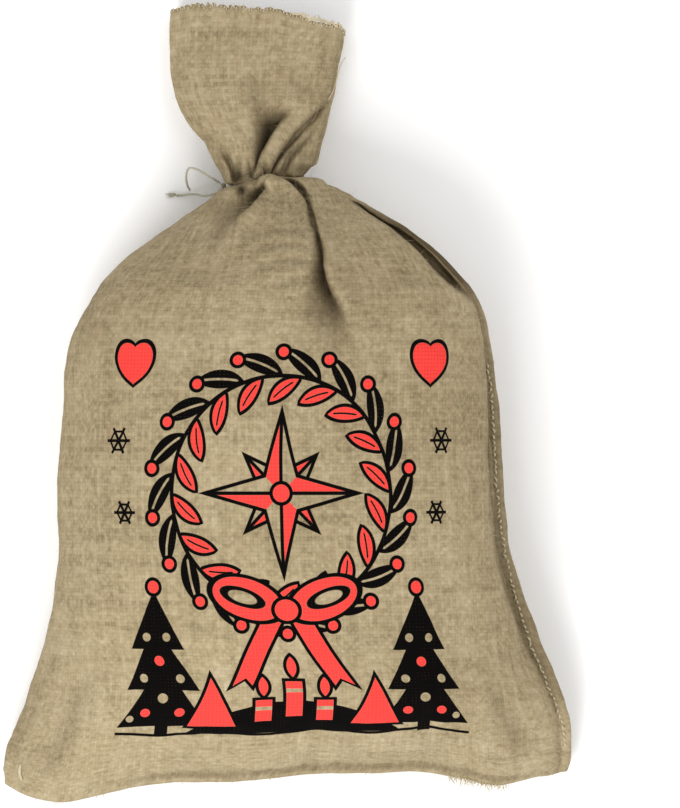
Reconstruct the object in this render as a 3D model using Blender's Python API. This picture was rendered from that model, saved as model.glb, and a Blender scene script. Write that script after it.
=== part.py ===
"""Filled jute burlap sack, tied at the neck with twine and lying on its back.

The sack is one piece of burlap, folded along its left side, sewn down its
right side and across its bottom, filled, gathered and tied. It lies on z = 0
with its printed front up and its mouth towards +Y. X runs along its width.
"""

import math

import bmesh
import bpy
import numpy as np
from mathutils import Vector

MM = 0.001

# Driving dimensions, in millimetres
SEAM_HALF = 1.7             # half the thickness of the turned seam allowance
FRONT_POINTS = 44           # points across the front of a section
BACK_POINTS = 22            # points across the back of a section
ROWS = 74                   # sections from the bottom seam to the mouth
NECK_DETAIL = 5.0           # how much closer the sections lie at the neck
NECK_Y = 147.5              # where the twine pulls the cloth in
NECK_REACH = 8.0            # how far from the twine the folds start
MOUTH_DEPTH = 5.0           # how far the mouth goes in before the cloth closes it
MOUTH_SCALE = 0.86          # size of the mouth's hollow against the cloth's outside
TWINE_RADIUS = 0.85
TWINE_GAP = 0.4             # between the neck and the turns round it
BAND_REACH = 2.6            # how far to each side of the turns the neck is measured

# Where the frame's origin lies on the drawing that the tables below use
ORIGIN_X = 0.085
ORIGIN_Y = 0.038

# One row for each section of the sack, from the bottom seam to the mouth.
# left_x, left_y, right_x, right_y: the two ends of the section on the outline
# hem: width of the seam allowance at its right end
# crown, rim, under: heights of the front's middle, the edges and the back's middle
# front, back: how full the front and the back are, a small number is boxier
# pleat: depth of the gathers
# follow: how far the section follows the curve of the edge at its end
COLUMNS = ("left_x", "left_y", "right_x", "right_y", "hem", "crown", "rim",
           "under", "front", "back", "pleat", "follow")
SECTIONS = (
    (-189.0, -255.0, 187.0, -245.0, 6.5, 56.0, 16.0, 56.0, 1.30, 1.30, 0.0, 1.00),
    (-189.5, -248.5, 188.5, -238.5, 6.5, 57.0, 17.0, 57.0, 1.25, 1.25, 0.0, 0.96),
    (-188.5, -240.5, 189.3, -234.0, 7.0, 82.0, 19.0, 34.0, 1.35, 1.30, 0.0, 0.80),
    (-186.0, -229.0, 189.7, -225.5, 8.0, 105.0, 24.0, 12.0, 1.50, 1.25, 0.0, 0.50),
    (-172.5, -192.0, 182.5, -192.0, 9.5, 137.0, 37.0, -4.0, 1.35, 0.80, 0.0, 0.12),
    (-162.5, -159.0, 169.5, -159.5, 13.0, 153.0, 49.0, -9.0, 1.15, 0.60, 0.0, 0.00),
    (-155.5, -125.5, 157.0, -125.5, 11.5, 162.0, 59.0, -10.0, 1.00, 0.52, 0.0, 0.00),
    (-152.3, -92.0, 147.7, -92.0, 9.5, 167.0, 66.0, -10.0, 0.92, 0.50, 0.0, 0.00),
    (-151.0, -38.7, 144.3, -38.7, 10.0, 169.0, 68.0, -10.0, 0.90, 0.50, 0.0, 0.00),
    (-148.3, 0.0, 141.0, 0.0, 8.0, 167.0, 67.0, -9.0, 0.90, 0.52, 0.2, 0.00),
    (-143.5, 37.5, 135.0, 37.5, 6.0, 160.0, 64.0, -6.0, 0.90, 0.58, 0.5, 0.00),
    (-128.3, 69.3, 127.0, 66.0, 5.5, 148.0, 60.0, 0.0, 0.92, 0.68, 0.9, 0.00),
    (-107.7, 93.3, 107.7, 93.3, 5.0, 132.0, 55.0, 8.0, 0.95, 0.80, 1.5, 0.00),
    (-86.3, 110.7, 86.3, 112.0, 4.5, 116.0, 51.0, 15.0, 1.00, 0.90, 2.2, 0.00),
    (-61.7, 126.7, 61.0, 126.7, 4.0, 98.0, 47.0, 20.0, 1.00, 1.00, 3.0, 0.00),
    (-45.0, 136.7, 39.0, 139.3, 3.0, 81.0, 44.0, 22.0, 1.00, 1.00, 2.8, 0.00),
    (-40.0, 139.8, 20.0, 145.4, 2.0, 66.0, 42.0, 23.0, 1.00, 1.00, 1.6, 0.00),
    (-38.4, 142.0, 10.4, 147.8, 1.2, 57.5, 40.0, 22.5, 1.00, 1.00, 0.4, 0.00),
    (-38.4, 147.2, 10.4, 153.0, 1.2, 57.5, 40.0, 22.5, 1.00, 1.00, 0.4, 0.00),
    (-42.0, 151.8, 13.0, 156.4, 2.0, 61.0, 39.0, 18.0, 1.00, 1.00, 2.0, 0.00),
    (-48.0, 159.0, 18.0, 160.0, 2.0, 63.0, 36.0, 13.0, 0.95, 0.95, 3.2, 0.00),
    (-53.7, 171.3, 23.0, 173.3, 2.0, 62.0, 32.0, 7.0, 0.90, 0.85, 4.2, 0.00),
    (-66.3, 188.0, 28.3, 190.0, 2.0, 59.0, 28.0, 1.0, 0.85, 0.70, 5.0, 0.00),
    (-74.3, 204.0, 31.7, 205.3, 2.0, 56.0, 26.0, -3.0, 0.80, 0.60, 5.6, 0.00),
    (-77.7, 226.7, 35.0, 226.7, 2.0, 50.0, 23.0, -4.0, 0.75, 0.55, 6.4, 0.10),
    (-77.7, 244.7, 37.7, 240.0, 2.0, 46.0, 22.0, -4.0, 0.72, 0.52, 7.0, 0.55),
    (-77.0, 262.7, 39.7, 248.7, 2.0, 44.0, 21.0, -4.0, 0.70, 0.50, 7.4, 1.00),
)

# How far the bottom edge lies off the straight line between the two corners
# across: share of the way from the left corner; off: towards +Y
BOTTOM_EDGE = (
    (0.00, 0.0), (0.05, -8.0), (0.10, -11.7), (0.17, -7.5), (0.25, -1.8),
    (0.40, -0.7), (0.55, 3.8), (0.72, 2.8), (0.80, -2.0), (0.88, -8.1),
    (0.95, -1.5), (1.00, 0.0),
)
# The same for the raw edge of the mouth
MOUTH_EDGE = (
    (0.00, 0.0), (0.12, 4.5), (0.25, 6.4), (0.35, 6.9), (0.50, 7.2),
    (0.58, 8.8), (0.72, 6.1), (0.85, 4.6), (0.95, 3.3), (1.00, 0.0),
)

# The folds of the front. Each runs through three points and is a trough with
# a soft ridge beside it. start, end: share of the depth at its two ends
FOLD_COLUMNS = ("x1", "y1", "x2", "y2", "x3", "y3", "depth", "width", "ridge",
                "start", "end")
FOLDS = (
    (-10.0, 142.0, 14.0, 128.0, 32.5, 69.0, -9.0, 5.2, 3.5, 0.7, 0.25),
    (-17.0, 139.5, -24.0, 127.0, -47.0, 109.0, -7.5, 6.0, 3.0, 1.0, 0.1),
    (25.5, 92.0, 25.7, 74.0, 18.0, 56.0, -4.5, 10.0, 0.0, 0.3, 0.5),
    (44.0, 131.0, 80.0, 102.0, 122.0, 66.0, -11.0, 5.2, 3.0, 0.3, 0.5),
    (-17.7, 196.0, -16.0, 176.0, -20.0, 159.0, -9.0, 3.8, 2.0, 0.4, 0.9),
    (26.3, 203.0, 12.0, 186.0, -8.0, 157.0, -6.0, 3.2, 3.0, 0.2, 1.0),
    (8.0, 168.0, 2.0, 162.0, -3.0, 153.0, -4.0, 2.6, 1.5, 0.5, 1.0),
    (-38.0, 166.0, -33.0, 158.0, -31.5, 147.0, -4.0, 2.6, 1.5, 0.3, 1.0),
    (-60.0, 228.0, -50.0, 205.0, -40.0, 180.0, -3.0, 6.0, 1.0, 0.4, 0.8),
    (-150.0, -225.0, -128.0, -190.0, -112.0, -150.0, -4.0, 9.0, 2.0, 1.0, 0.0),
    (150.0, -222.0, 130.0, -190.0, 116.0, -150.0, -4.0, 9.0, 2.0, 1.0, 0.0),
    (-60.0, -240.0, -52.0, -218.0, -48.0, -196.0, -3.0, 9.0, 1.0, 1.0, 0.0),
    (52.0, -236.0, 46.0, -214.0, 44.0, -192.0, -3.0, 9.0, 1.0, 1.0, 0.0),
)

# The free twine, from the knot beside the neck
LOOP_ROUTE = (
    (-44.6, 146.6, 35.5), (-52.0, 151.0, 39.0), (-60.0, 155.6, 38.0),
    (-65.6, 156.6, 33.5), (-67.6, 151.5, 27.0), (-67.0, 145.6, 19.0),
    (-65.4, 142.6, 11.5),
)
END_ROUTE = (
    (-44.8, 141.6, 32.0), (-50.5, 139.2, 26.0), (-56.0, 138.6, 18.5),
    (-61.0, 139.8, 11.0), (-66.0, 140.0, 5.0), (-71.0, 139.4, 1.75),
    (-74.6, 139.3, 1.70),
)
NECK_KNOT = (-42.4, 143.8, 34.0)
END_KNOT = (-77.6, 139.6, 1.75)


def clear_scene():
    """Remove every object that the new file opened with."""
    for obj in list(bpy.data.objects):
        bpy.data.objects.remove(obj, do_unlink=True)


def in_frame(point):
    """A point of the drawing, in metres in the part's own frame."""
    return (point - Vector((ORIGIN_X, ORIGIN_Y, 0.0))) * MM


def cloth_material(name, colour, roughness):
    """A Principled material in one colour, for a cloth or a yarn."""
    material = bpy.data.materials.new(name)
    material.use_nodes = True
    shader = material.node_tree.nodes["Principled BSDF"]
    shader.inputs["Base Color"].default_value = (*colour, 1.0)
    shader.inputs["Roughness"].default_value = roughness
    shader.inputs["Metallic"].default_value = 0.0
    return material


def smooth_table(knots, values, at):
    """Read a table smoothly between its rows, without overshooting them."""
    knots = np.asarray(knots, dtype=float)
    values = np.asarray(values, dtype=float)
    at = np.atleast_1d(np.asarray(at, dtype=float))
    step = np.diff(knots)
    slope = np.diff(values) / step
    tangent = np.zeros(len(values))
    for i in range(1, len(values) - 1):
        if slope[i - 1] * slope[i] > 0.0:
            near = 2.0 * step[i] + step[i - 1]
            far = step[i] + 2.0 * step[i - 1]
            tangent[i] = (near + far) / (near / slope[i - 1] + far / slope[i])
    tangent[0] = slope[0]
    tangent[-1] = slope[-1]
    place = np.clip(np.searchsorted(knots, at, side="right") - 1, 0, len(step) - 1)
    f = np.clip((at - knots[place]) / step[place], 0.0, 1.0)
    h = step[place]
    return ((2 * f ** 3 - 3 * f ** 2 + 1) * values[place]
            + (f ** 3 - 2 * f ** 2 + f) * h * tangent[place]
            + (3 * f ** 2 - 2 * f ** 3) * values[place + 1]
            + (f ** 3 - f ** 2) * h * tangent[place + 1])


def section_rows():
    """Every section of the sack as a dictionary of the columns' values."""
    table = np.array(SECTIONS)
    middle = 0.5 * (table[:, 1] + table[:, 3])
    lift = 0.35 * np.abs(np.diff(table[:, 5]))
    weight = 2.0 + NECK_DETAIL * np.exp(-((middle[1:] - 148.0) / 9.0) ** 2)
    knots = np.concatenate(([0.0], np.cumsum(np.hypot(np.diff(middle), lift) + weight)))
    at = np.linspace(0.0, knots[-1], ROWS)
    read = {name: smooth_table(knots, table[:, i], at)
            for i, name in enumerate(COLUMNS)}
    rows = []
    for r in range(ROWS):
        rows.append({name: read[name][r] for name in COLUMNS})
    return rows


def edge_offset(row, across):
    """How far a section bows in Y at a share of the way across."""
    edge = BOTTOM_EDGE if row["left_y"] < 0.0 else MOUTH_EDGE
    knots = [e[0] for e in edge]
    return row["follow"] * smooth_table(knots, [e[1] for e in edge], across)[0]


def fold_depth(x, y):
    """Height that the folds of the front add at a point of the plan."""
    total = 0.0
    for values in FOLDS:
        fold = dict(zip(FOLD_COLUMNS, values))
        best = None
        for i in range(17):
            t = i / 16.0
            a, b, c = (1 - t) ** 2, 2 * t * (1 - t), t * t
            bend_x = 2.0 * fold["x2"] - 0.5 * (fold["x1"] + fold["x3"])
            bend_y = 2.0 * fold["y2"] - 0.5 * (fold["y1"] + fold["y3"])
            px = a * fold["x1"] + b * bend_x + c * fold["x3"]
            py = a * fold["y1"] + b * bend_y + c * fold["y3"]
            away = math.hypot(x - px, y - py)
            if best is None or away < best[0]:
                best = (away, t)
        away, t = best
        if away > 5.0 * fold["width"]:
            continue
        share = fold["start"] * (1 - t) + fold["end"] * t
        share += (1.0 - share) * 4.0 * t * (1 - t)
        trough = math.exp(-((away / fold["width"]) ** 2))
        ridge = math.exp(-(((away - 2.2 * fold["width"]) / (1.2 * fold["width"])) ** 2))
        total += share * (fold["depth"] * trough + fold["ridge"] * ridge)
    return total


def gathers(turn, row, r):
    """Depth of the gathers at an angle round a section of the neck."""
    drift = 0.045 * r
    wave = math.cos(9.0 * turn + 0.6 + drift) + 0.55 * math.cos(5.0 * turn - 1.1 - drift)
    wave += 0.35 * math.cos(14.0 * turn + 2.0)
    below = 0.5 - 0.5 * math.sin(turn)
    return row["pleat"] * wave * (0.30 + 0.55 * below)


def section_points(row, r):
    """The closed ring of points of one section, counted from its left edge."""
    inner_x = row["right_x"] - row["hem"]
    ring = []

    def place(across, height, turn, share):
        """A point of the section, moved out or in by the gathers."""
        x = row["left_x"] + across * (inner_x - row["left_x"])
        span = row["right_x"] - row["left_x"]
        whole = (x - row["left_x"]) / span
        y = row["left_y"] + whole * (row["right_y"] - row["left_y"])
        y += edge_offset(row, whole)
        depth = gathers(turn, row, r) * share
        return x + 0.6 * depth * math.cos(turn), y, height + depth * math.sin(turn)

    for i in range(FRONT_POINTS + 1):
        angle = math.pi * i / FRONT_POINTS
        across = 0.5 - 0.5 * math.cos(angle)
        bulge = max(math.sin(angle), 0.0) ** row["front"]
        wall = SEAM_HALF * math.sqrt(max(0.0, 1.0 - (2 * across - 1) ** 12))
        if across > 0.5:
            wall = SEAM_HALF
        height = row["rim"] + (row["crown"] - row["rim"]) * bulge + wall
        x, y, z = place(across, height, math.pi - angle, math.sin(angle))
        if 0 < i < FRONT_POINTS:
            free = 1.0 - math.exp(-(((y - NECK_Y) / NECK_REACH) ** 2))
            z += fold_depth(x, y) * free * min(1.0, 2.2 * math.sin(angle))
        ring.append(Vector((x, y, z)))
    outer = Vector((row["right_x"], row["right_y"], row["rim"]))
    outer.y += edge_offset(row, 1.0)
    ring.append(outer + Vector((0.0, 0.0, SEAM_HALF * 0.9)))
    ring.append(outer - Vector((0.0, 0.0, SEAM_HALF * 0.9)))
    for i in range(BACK_POINTS):
        angle = math.pi * i / BACK_POINTS
        across = 0.5 + 0.5 * math.cos(angle)
        bulge = max(math.sin(angle), 0.0) ** row["back"]
        wall = SEAM_HALF * math.sqrt(max(0.0, 1.0 - (2 * across - 1) ** 12))
        if across > 0.5:
            wall = SEAM_HALF
        height = row["rim"] - (row["rim"] - row["under"]) * bulge - wall
        x, y, z = place(across, height, -angle, math.sin(angle))
        ring.append(Vector((x, y, max(0.0, z))))
    return ring


def mouth_rings(outer):
    """The rings that turn the cloth in at the mouth and close its hollow."""
    centre = sum(outer, Vector()) / len(outer)
    lip = [centre + (p - centre) * MOUTH_SCALE for p in outer]
    floor = []
    for p in lip:
        q = centre + (p - centre) * 0.96
        floor.append(Vector((q.x, p.y - MOUTH_DEPTH, max(2.0, q.z))))
    lip = [Vector((p.x, q.y - 0.6, max(2.0, p.z))) for p, q in zip(lip, outer)]
    return [lip, floor]


def make_sack(material):
    """The sack as one filled solid, with its seam allowance and its open mouth."""
    rings = [section_points(row, r) for r, row in enumerate(section_rows())]
    rings += mouth_rings(rings[-1])
    mesh = bpy.data.meshes.new("sack")
    work = bmesh.new()
    loops = [[work.verts.new(in_frame(p)) for p in ring] for ring in rings]
    count = len(loops[0])
    for low, high in zip(loops, loops[1:]):
        for i in range(count):
            j = (i + 1) % count
            work.faces.new((low[i], low[j], high[j], high[i]))
    close_strip(work, loops[0])
    floor = work.verts.new(sum((v.co for v in loops[-1]), Vector()) / count)
    for i in range(count):
        work.faces.new((loops[-1][i], loops[-1][(i + 1) % count], floor))
    bmesh.ops.recalc_face_normals(work, faces=work.faces)
    bmesh.ops.triangulate(work, faces=work.faces)
    work.to_mesh(mesh)
    work.free()
    mesh.shade_smooth()
    mesh.set_sharp_from_angle(angle=math.radians(50.0))
    mesh.materials.append(material)
    return bpy.data.objects.new("sack", mesh)


def close_strip(work, loop):
    """Close the narrow ring along the bottom seam, front edge to back edge."""
    count = len(loop)
    front = list(range(0, FRONT_POINTS + 2))
    back = [0] + list(range(count - 1, FRONT_POINTS + 1, -1))
    a, b = 0, 0
    while a < len(front) - 1 or b < len(back) - 1:
        if b == len(back) - 1:
            step_front = True
        elif a == len(front) - 1:
            step_front = False
        else:
            step_front = (loop[front[a + 1]].co.x <= loop[back[b + 1]].co.x)
        if step_front:
            face = {front[a], front[a + 1], back[b]}
            a += 1
        else:
            face = {front[a], back[b], back[b + 1]}
            b += 1
        if len(face) == 3:
            work.faces.new([loop[i] for i in face])


def catmull(points, steps):
    """Points of a smooth curve through the route's own points."""
    route = [Vector(p) for p in points]
    route = [2 * route[0] - route[1]] + route + [2 * route[-1] - route[-2]]
    line = []
    for i in range(1, len(route) - 2):
        p0, p1, p2, p3 = route[i - 1:i + 3]
        for s in range(steps):
            t = s / steps
            line.append(0.5 * ((2 * p1) + (p2 - p0) * t
                               + (2 * p0 - 5 * p1 + 4 * p2 - p3) * t * t
                               + (3 * p1 - p0 - 3 * p2 + p3) * t ** 3))
    line.append(route[-2])
    return line


def twine_curve(name, points, radius, material):
    """A length of twine as a round curve with filled ends."""
    curve = bpy.data.curves.new(name, "CURVE")
    curve.dimensions = "3D"
    curve.bevel_depth = radius * MM
    curve.bevel_resolution = 2
    curve.use_fill_caps = True
    spline = curve.splines.new("POLY")
    spline.points.add(len(points) - 1)
    for knot, p in zip(spline.points, points):
        knot.co = (*in_frame(p), 1.0)
    curve.materials.append(material)
    return bpy.data.objects.new(name, curve)


def neck_line():
    """The neck's middle, and the points of the sack that the twine passes."""
    rows = section_rows()
    rings = [section_points(row, r) for r, row in enumerate(rows)]
    neck = min(range(40, ROWS), key=lambda r: rows[r]["right_x"] - rows[r]["left_x"])
    left = min(rings[neck], key=lambda p: p.x)
    right = max(rings[neck], key=lambda p: p.x)
    slant = (right.y - left.y) / (right.x - left.x)
    centre = sum(rings[neck], Vector()) / len(rings[neck])
    centre.y = left.y + slant * (centre.x - left.x)
    near = []
    for ring in rings[neck - 4:neck + 5]:
        for p in ring:
            if abs(p.y - centre.y - slant * (p.x - centre.x)) < BAND_REACH:
                near.append(p)
    return centre, slant, near


def turned_band(name, material):
    """Two fused turns of twine round the neck, as one ring with two ridges."""
    centre, slant, near = neck_line()
    count = 48
    reach = []
    for k in range(count):
        angle = 2.0 * math.pi * k / count
        way = Vector((math.cos(angle), 0.0, math.sin(angle)))
        reach.append(max((p - centre).x * way.x + (p - centre).z * way.z for p in near))
    profile = []
    for k in range(12):
        a = 2.0 * math.pi * k / 12
        waist = 1.0 - 0.30 * math.exp(-((math.cos(a) / 0.35) ** 2))
        profile.append((1.75 * TWINE_RADIUS * math.cos(a),
                        TWINE_RADIUS * waist * math.sin(a)))
    mesh = bpy.data.meshes.new(name)
    work = bmesh.new()
    loops = []
    for k in range(count):
        angle = 2.0 * math.pi * k / count
        way = Vector((math.cos(angle), 0.0, math.sin(angle)))
        nearby = [reach[(k + d) % count] for d in (-1, 0, 1)]
        base = max(nearby) + TWINE_GAP + TWINE_RADIUS
        loop = []
        for along, out in profile:
            p = centre + way * (base + out)
            p.y = centre.y + slant * (p.x - centre.x) + along
            loop.append(work.verts.new(in_frame(p)))
        loops.append(loop)
    for k in range(count):
        low, high = loops[k], loops[(k + 1) % count]
        for i in range(12):
            j = (i + 1) % 12
            work.faces.new((low[i], low[j], high[j], high[i]))
    bmesh.ops.recalc_face_normals(work, faces=work.faces)
    work.to_mesh(mesh)
    work.free()
    mesh.shade_smooth()
    mesh.materials.append(material)
    return bpy.data.objects.new(name, mesh)


def lump(name, place, radii, material):
    """A small knot as a round lump with three unlike radii."""
    work = bmesh.new()
    bmesh.ops.create_icosphere(work, subdivisions=2, radius=1.0)
    for vert in work.verts:
        ripple = 1.0 + 0.10 * math.sin(5.0 * vert.co.x + 3.0 * vert.co.y)
        vert.co = Vector((vert.co.x * radii[0], vert.co.y * radii[1],
                          vert.co.z * radii[2])) * ripple
        vert.co = in_frame(vert.co + Vector(place))
    mesh = bpy.data.meshes.new(name)
    work.to_mesh(mesh)
    work.free()
    mesh.shade_smooth()
    mesh.materials.append(material)
    return bpy.data.objects.new(name, mesh)


def main():
    """Build the sack and its tie."""
    clear_scene()
    collection = bpy.data.collections.new("burlap_sack")
    bpy.context.scene.collection.children.link(collection)
    burlap = cloth_material("burlap", (0.42, 0.34, 0.20), 0.95)
    twine = cloth_material("twine", (0.36, 0.34, 0.27), 0.90)

    collection.objects.link(make_sack(burlap))
    collection.objects.link(turned_band("tie_wrap", twine))
    collection.objects.link(lump("tie_knot", NECK_KNOT, (2.2, 4.2, 3.4), twine))
    collection.objects.link(twine_curve("tie_loop", catmull(LOOP_ROUTE, 4),
                                        TWINE_RADIUS, twine))
    collection.objects.link(twine_curve("tie_end", catmull(END_ROUTE, 4),
                                        TWINE_RADIUS, twine))
    collection.objects.link(lump("tie_end_knot", END_KNOT, (2.4, 1.7, 1.6), twine))


main()
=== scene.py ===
"""The looks of a filled burlap sack that lies on its back, tied with twine.

The cloth is one grid of points that follows the weave: across the front from
the folded side to the sewn side, over the seam allowance, and back underneath.
All lengths in the tables are millimetres on the drawing of the sack.
"""
import logging
import math
from dataclasses import dataclass, field
from enum import Enum
from functools import partial, reduce
from typing import Callable, Sequence, Union

import bmesh
import bpy
import numpy as np
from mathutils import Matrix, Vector
from mathutils.bvhtree import BVHTree


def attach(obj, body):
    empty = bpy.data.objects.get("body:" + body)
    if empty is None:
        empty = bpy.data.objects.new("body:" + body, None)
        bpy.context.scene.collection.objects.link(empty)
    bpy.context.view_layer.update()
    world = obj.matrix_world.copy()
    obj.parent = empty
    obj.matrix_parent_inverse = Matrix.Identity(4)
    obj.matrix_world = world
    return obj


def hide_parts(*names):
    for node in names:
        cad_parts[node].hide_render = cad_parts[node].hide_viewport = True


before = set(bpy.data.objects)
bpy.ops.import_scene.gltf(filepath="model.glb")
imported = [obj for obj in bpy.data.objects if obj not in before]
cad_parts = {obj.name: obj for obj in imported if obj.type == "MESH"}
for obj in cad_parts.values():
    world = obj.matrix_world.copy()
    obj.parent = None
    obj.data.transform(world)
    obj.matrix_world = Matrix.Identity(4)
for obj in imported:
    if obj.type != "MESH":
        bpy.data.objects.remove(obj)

logging.basicConfig(level=logging.INFO, format="%(message)s")
LOG = logging.getLogger("sack")

# Metres in a millimetre, and the drawing's place that is the part's own origin.
MM = 0.001
ORIGIN = np.array((0.085, 0.038, 0.0))
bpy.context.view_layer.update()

# Distance between the cloth's threads.
THREAD = 2.5

# The line of the tie: its Y at TIE_X, and how steeply it rises to the right.
TIE_Y = 144.6
TIE_X = -38.4
TIE_SLOPE = 0.119

# The mouth's upper right corner, where the weave comes open: X of its middle and its reach, and
# the height above which the mouth's edge is its front.
OPEN_X = 21.0
OPEN_REACH = 11.0
MOUTH_FRONT = 25.0

# How many points a twine's or a seam's route gets between two of its own.
ROUTE_STEPS = 8

# Each section of the sack, from the bottom seam to the mouth: X and Y of its folded side and of
# its sewn edge, width of the seam allowance, heights of its top, sides and underside, how steeply
# its front and back swell, depth of its gathers, and how far it follows the uneven edge at its end.
COLUMNS = ("left_x", "left_y", "right_x", "right_y", "hem", "crown", "rim",
           "under", "front", "back", "pleat", "follow")
SECTIONS = np.array((
    (-190.2, -255.0, 187.6, -248.0, 6.5, 60.0, 16.0, 52.0, 1.30, 1.30, 0.0, 1.00),
    (-190.0, -248.5, 190.4, -243.5, 6.5, 62.0, 17.0, 51.0, 1.25, 1.25, 0.0, 0.96),
    (-189.4, -240.5, 191.3, -235.5, 7.0, 80.0, 19.0, 34.0, 1.35, 1.30, 0.0, 0.80),
    (-187.0, -229.0, 191.3, -225.5, 8.0, 101.0, 24.0, 12.0, 1.50, 1.25, 0.0, 0.50),
    (-172.5, -192.0, 183.6, -192.0, 9.5, 137.0, 37.0, -4.0, 1.35, 0.80, 0.0, 0.12),
    (-162.5, -159.0, 169.5, -159.5, 13.0, 153.0, 49.0, -9.0, 1.15, 0.60, 0.0, 0.00),
    (-155.5, -125.5, 157.0, -125.5, 11.5, 162.0, 59.0, -10.0, 1.00, 0.52, 0.0, 0.00),
    (-152.3, -92.0, 147.7, -92.0, 9.5, 167.0, 66.0, -10.0, 0.92, 0.50, 0.0, 0.00),
    (-150.0, -38.7, 144.0, -38.7, 10.0, 169.0, 68.0, -10.0, 0.90, 0.50, 0.0, 0.00),
    (-147.0, 0.0, 141.0, 0.0, 8.0, 167.0, 67.0, -9.0, 0.90, 0.52, 0.2, 0.00),
    (-142.6, 37.5, 136.6, 37.5, 6.0, 160.0, 64.0, -6.0, 0.90, 0.58, 0.5, 0.00),
    (-128.3, 69.3, 128.6, 66.0, 5.5, 148.0, 60.0, 0.0, 0.92, 0.68, 0.9, 0.00),
    (-107.7, 93.3, 108.4, 93.3, 5.0, 132.0, 55.0, 8.0, 0.95, 0.80, 1.5, 0.00),
    (-86.3, 110.7, 86.3, 112.0, 4.5, 116.0, 51.0, 15.0, 1.00, 0.90, 2.2, 0.00),
    (-63.0, 127.2, 61.0, 126.7, 4.0, 98.0, 47.0, 20.0, 1.00, 1.00, 3.0, 0.00),
    (-46.0, 136.7, 40.0, 140.0, 3.0, 81.0, 44.0, 22.0, 1.00, 1.00, 2.8, 0.00),
    (-41.6, 139.8, 22.5, 147.2, 2.0, 66.0, 42.0, 23.0, 1.00, 1.00, 1.6, 0.00),
    (-40.2, 142.0, 10.8, 149.2, 1.2, 57.5, 40.0, 22.5, 1.00, 1.00, 0.4, 0.00),
    (-40.2, 147.2, 10.4, 153.6, 1.2, 57.5, 40.0, 22.5, 1.00, 1.00, 0.4, 0.00),
    (-43.0, 151.8, 14.2, 156.6, 2.0, 61.0, 39.0, 18.0, 1.00, 1.00, 2.0, 0.00),
    (-48.0, 159.0, 19.6, 160.0, 2.0, 63.0, 36.0, 13.0, 0.95, 0.95, 3.2, 0.00),
    (-53.7, 171.3, 24.0, 173.3, 2.0, 62.0, 32.0, 7.0, 0.90, 0.85, 4.2, 0.00),
    (-66.3, 188.0, 28.3, 190.0, 2.0, 59.0, 28.0, 1.0, 0.85, 0.70, 5.0, 0.00),
    (-74.3, 204.0, 31.7, 205.3, 2.0, 56.0, 26.0, -3.0, 0.80, 0.60, 5.6, 0.00),
    (-77.7, 226.7, 35.0, 226.7, 2.0, 50.0, 23.0, -4.0, 0.75, 0.55, 6.4, 0.10),
    (-77.7, 244.7, 37.7, 240.0, 2.0, 46.0, 22.0, -4.0, 0.72, 0.52, 7.0, 0.55),
    (-77.0, 262.7, 39.7, 248.7, 2.0, 44.0, 21.0, -4.0, 0.70, 0.50, 7.4, 1.00),
))

# The uneven edges at the bottom and at the mouth: place across, from 0 to 1, and Y.
BOTTOM_EDGE = np.array((
    (0.00, -2.0), (0.05, -11.0), (0.10, -14.2), (0.17, -9.4), (0.25, -3.0),
    (0.32, -0.6), (0.40, -0.8), (0.48, 1.4), (0.55, 3.2), (0.72, 3.2),
    (0.80, -0.8), (0.88, -7.4), (0.94, -3.4), (1.00, 0.0),
))
MOUTH_EDGE = np.array((
    (0.00, 0.0), (0.12, 4.5), (0.25, 6.4), (0.35, 6.9), (0.50, 7.2),
    (0.58, 8.8), (0.72, 6.1), (0.85, 4.6), (0.95, 3.3), (1.00, 0.0),
))

# Spots of painted shade round the tie, where the mouth's folds shade the cloth: X, Y, half width,
# half height and how dark.
SHADE_SPOTS = (
    (-31.0, 146.5, 8.0, 5.5, 0.95), (-24.0, 152.0, 6.0, 4.0, 0.45), (4.0, 153.5, 12.0, 3.0, 0.40),
    (11.5, 156.5, 6.0, 3.6, 0.95), (18.6, 163.0, 3.5, 6.0, 0.50), (-44.5, 158.0, 3.5, 9.0, 0.45),
    (-25.0, 137.5, 10.0, 4.5, 0.40),
)


# A thin round strand: its points in metres and its radius at each point.
Strand = tuple[np.ndarray, np.ndarray]


@dataclass(frozen=True)
class Fold:
    """A fold in the front of the cloth, in millimetres on the drawing.

    Attributes:
        name: what it is on the sack.
        route: places along it, each as x, y, depth of the trough, its half
            width on the left and on the right of the route, the height of the
            lip on the right, and how far that lip laps over the trough.
    """

    name: str
    route: Sequence[tuple[float, ...]]


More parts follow.
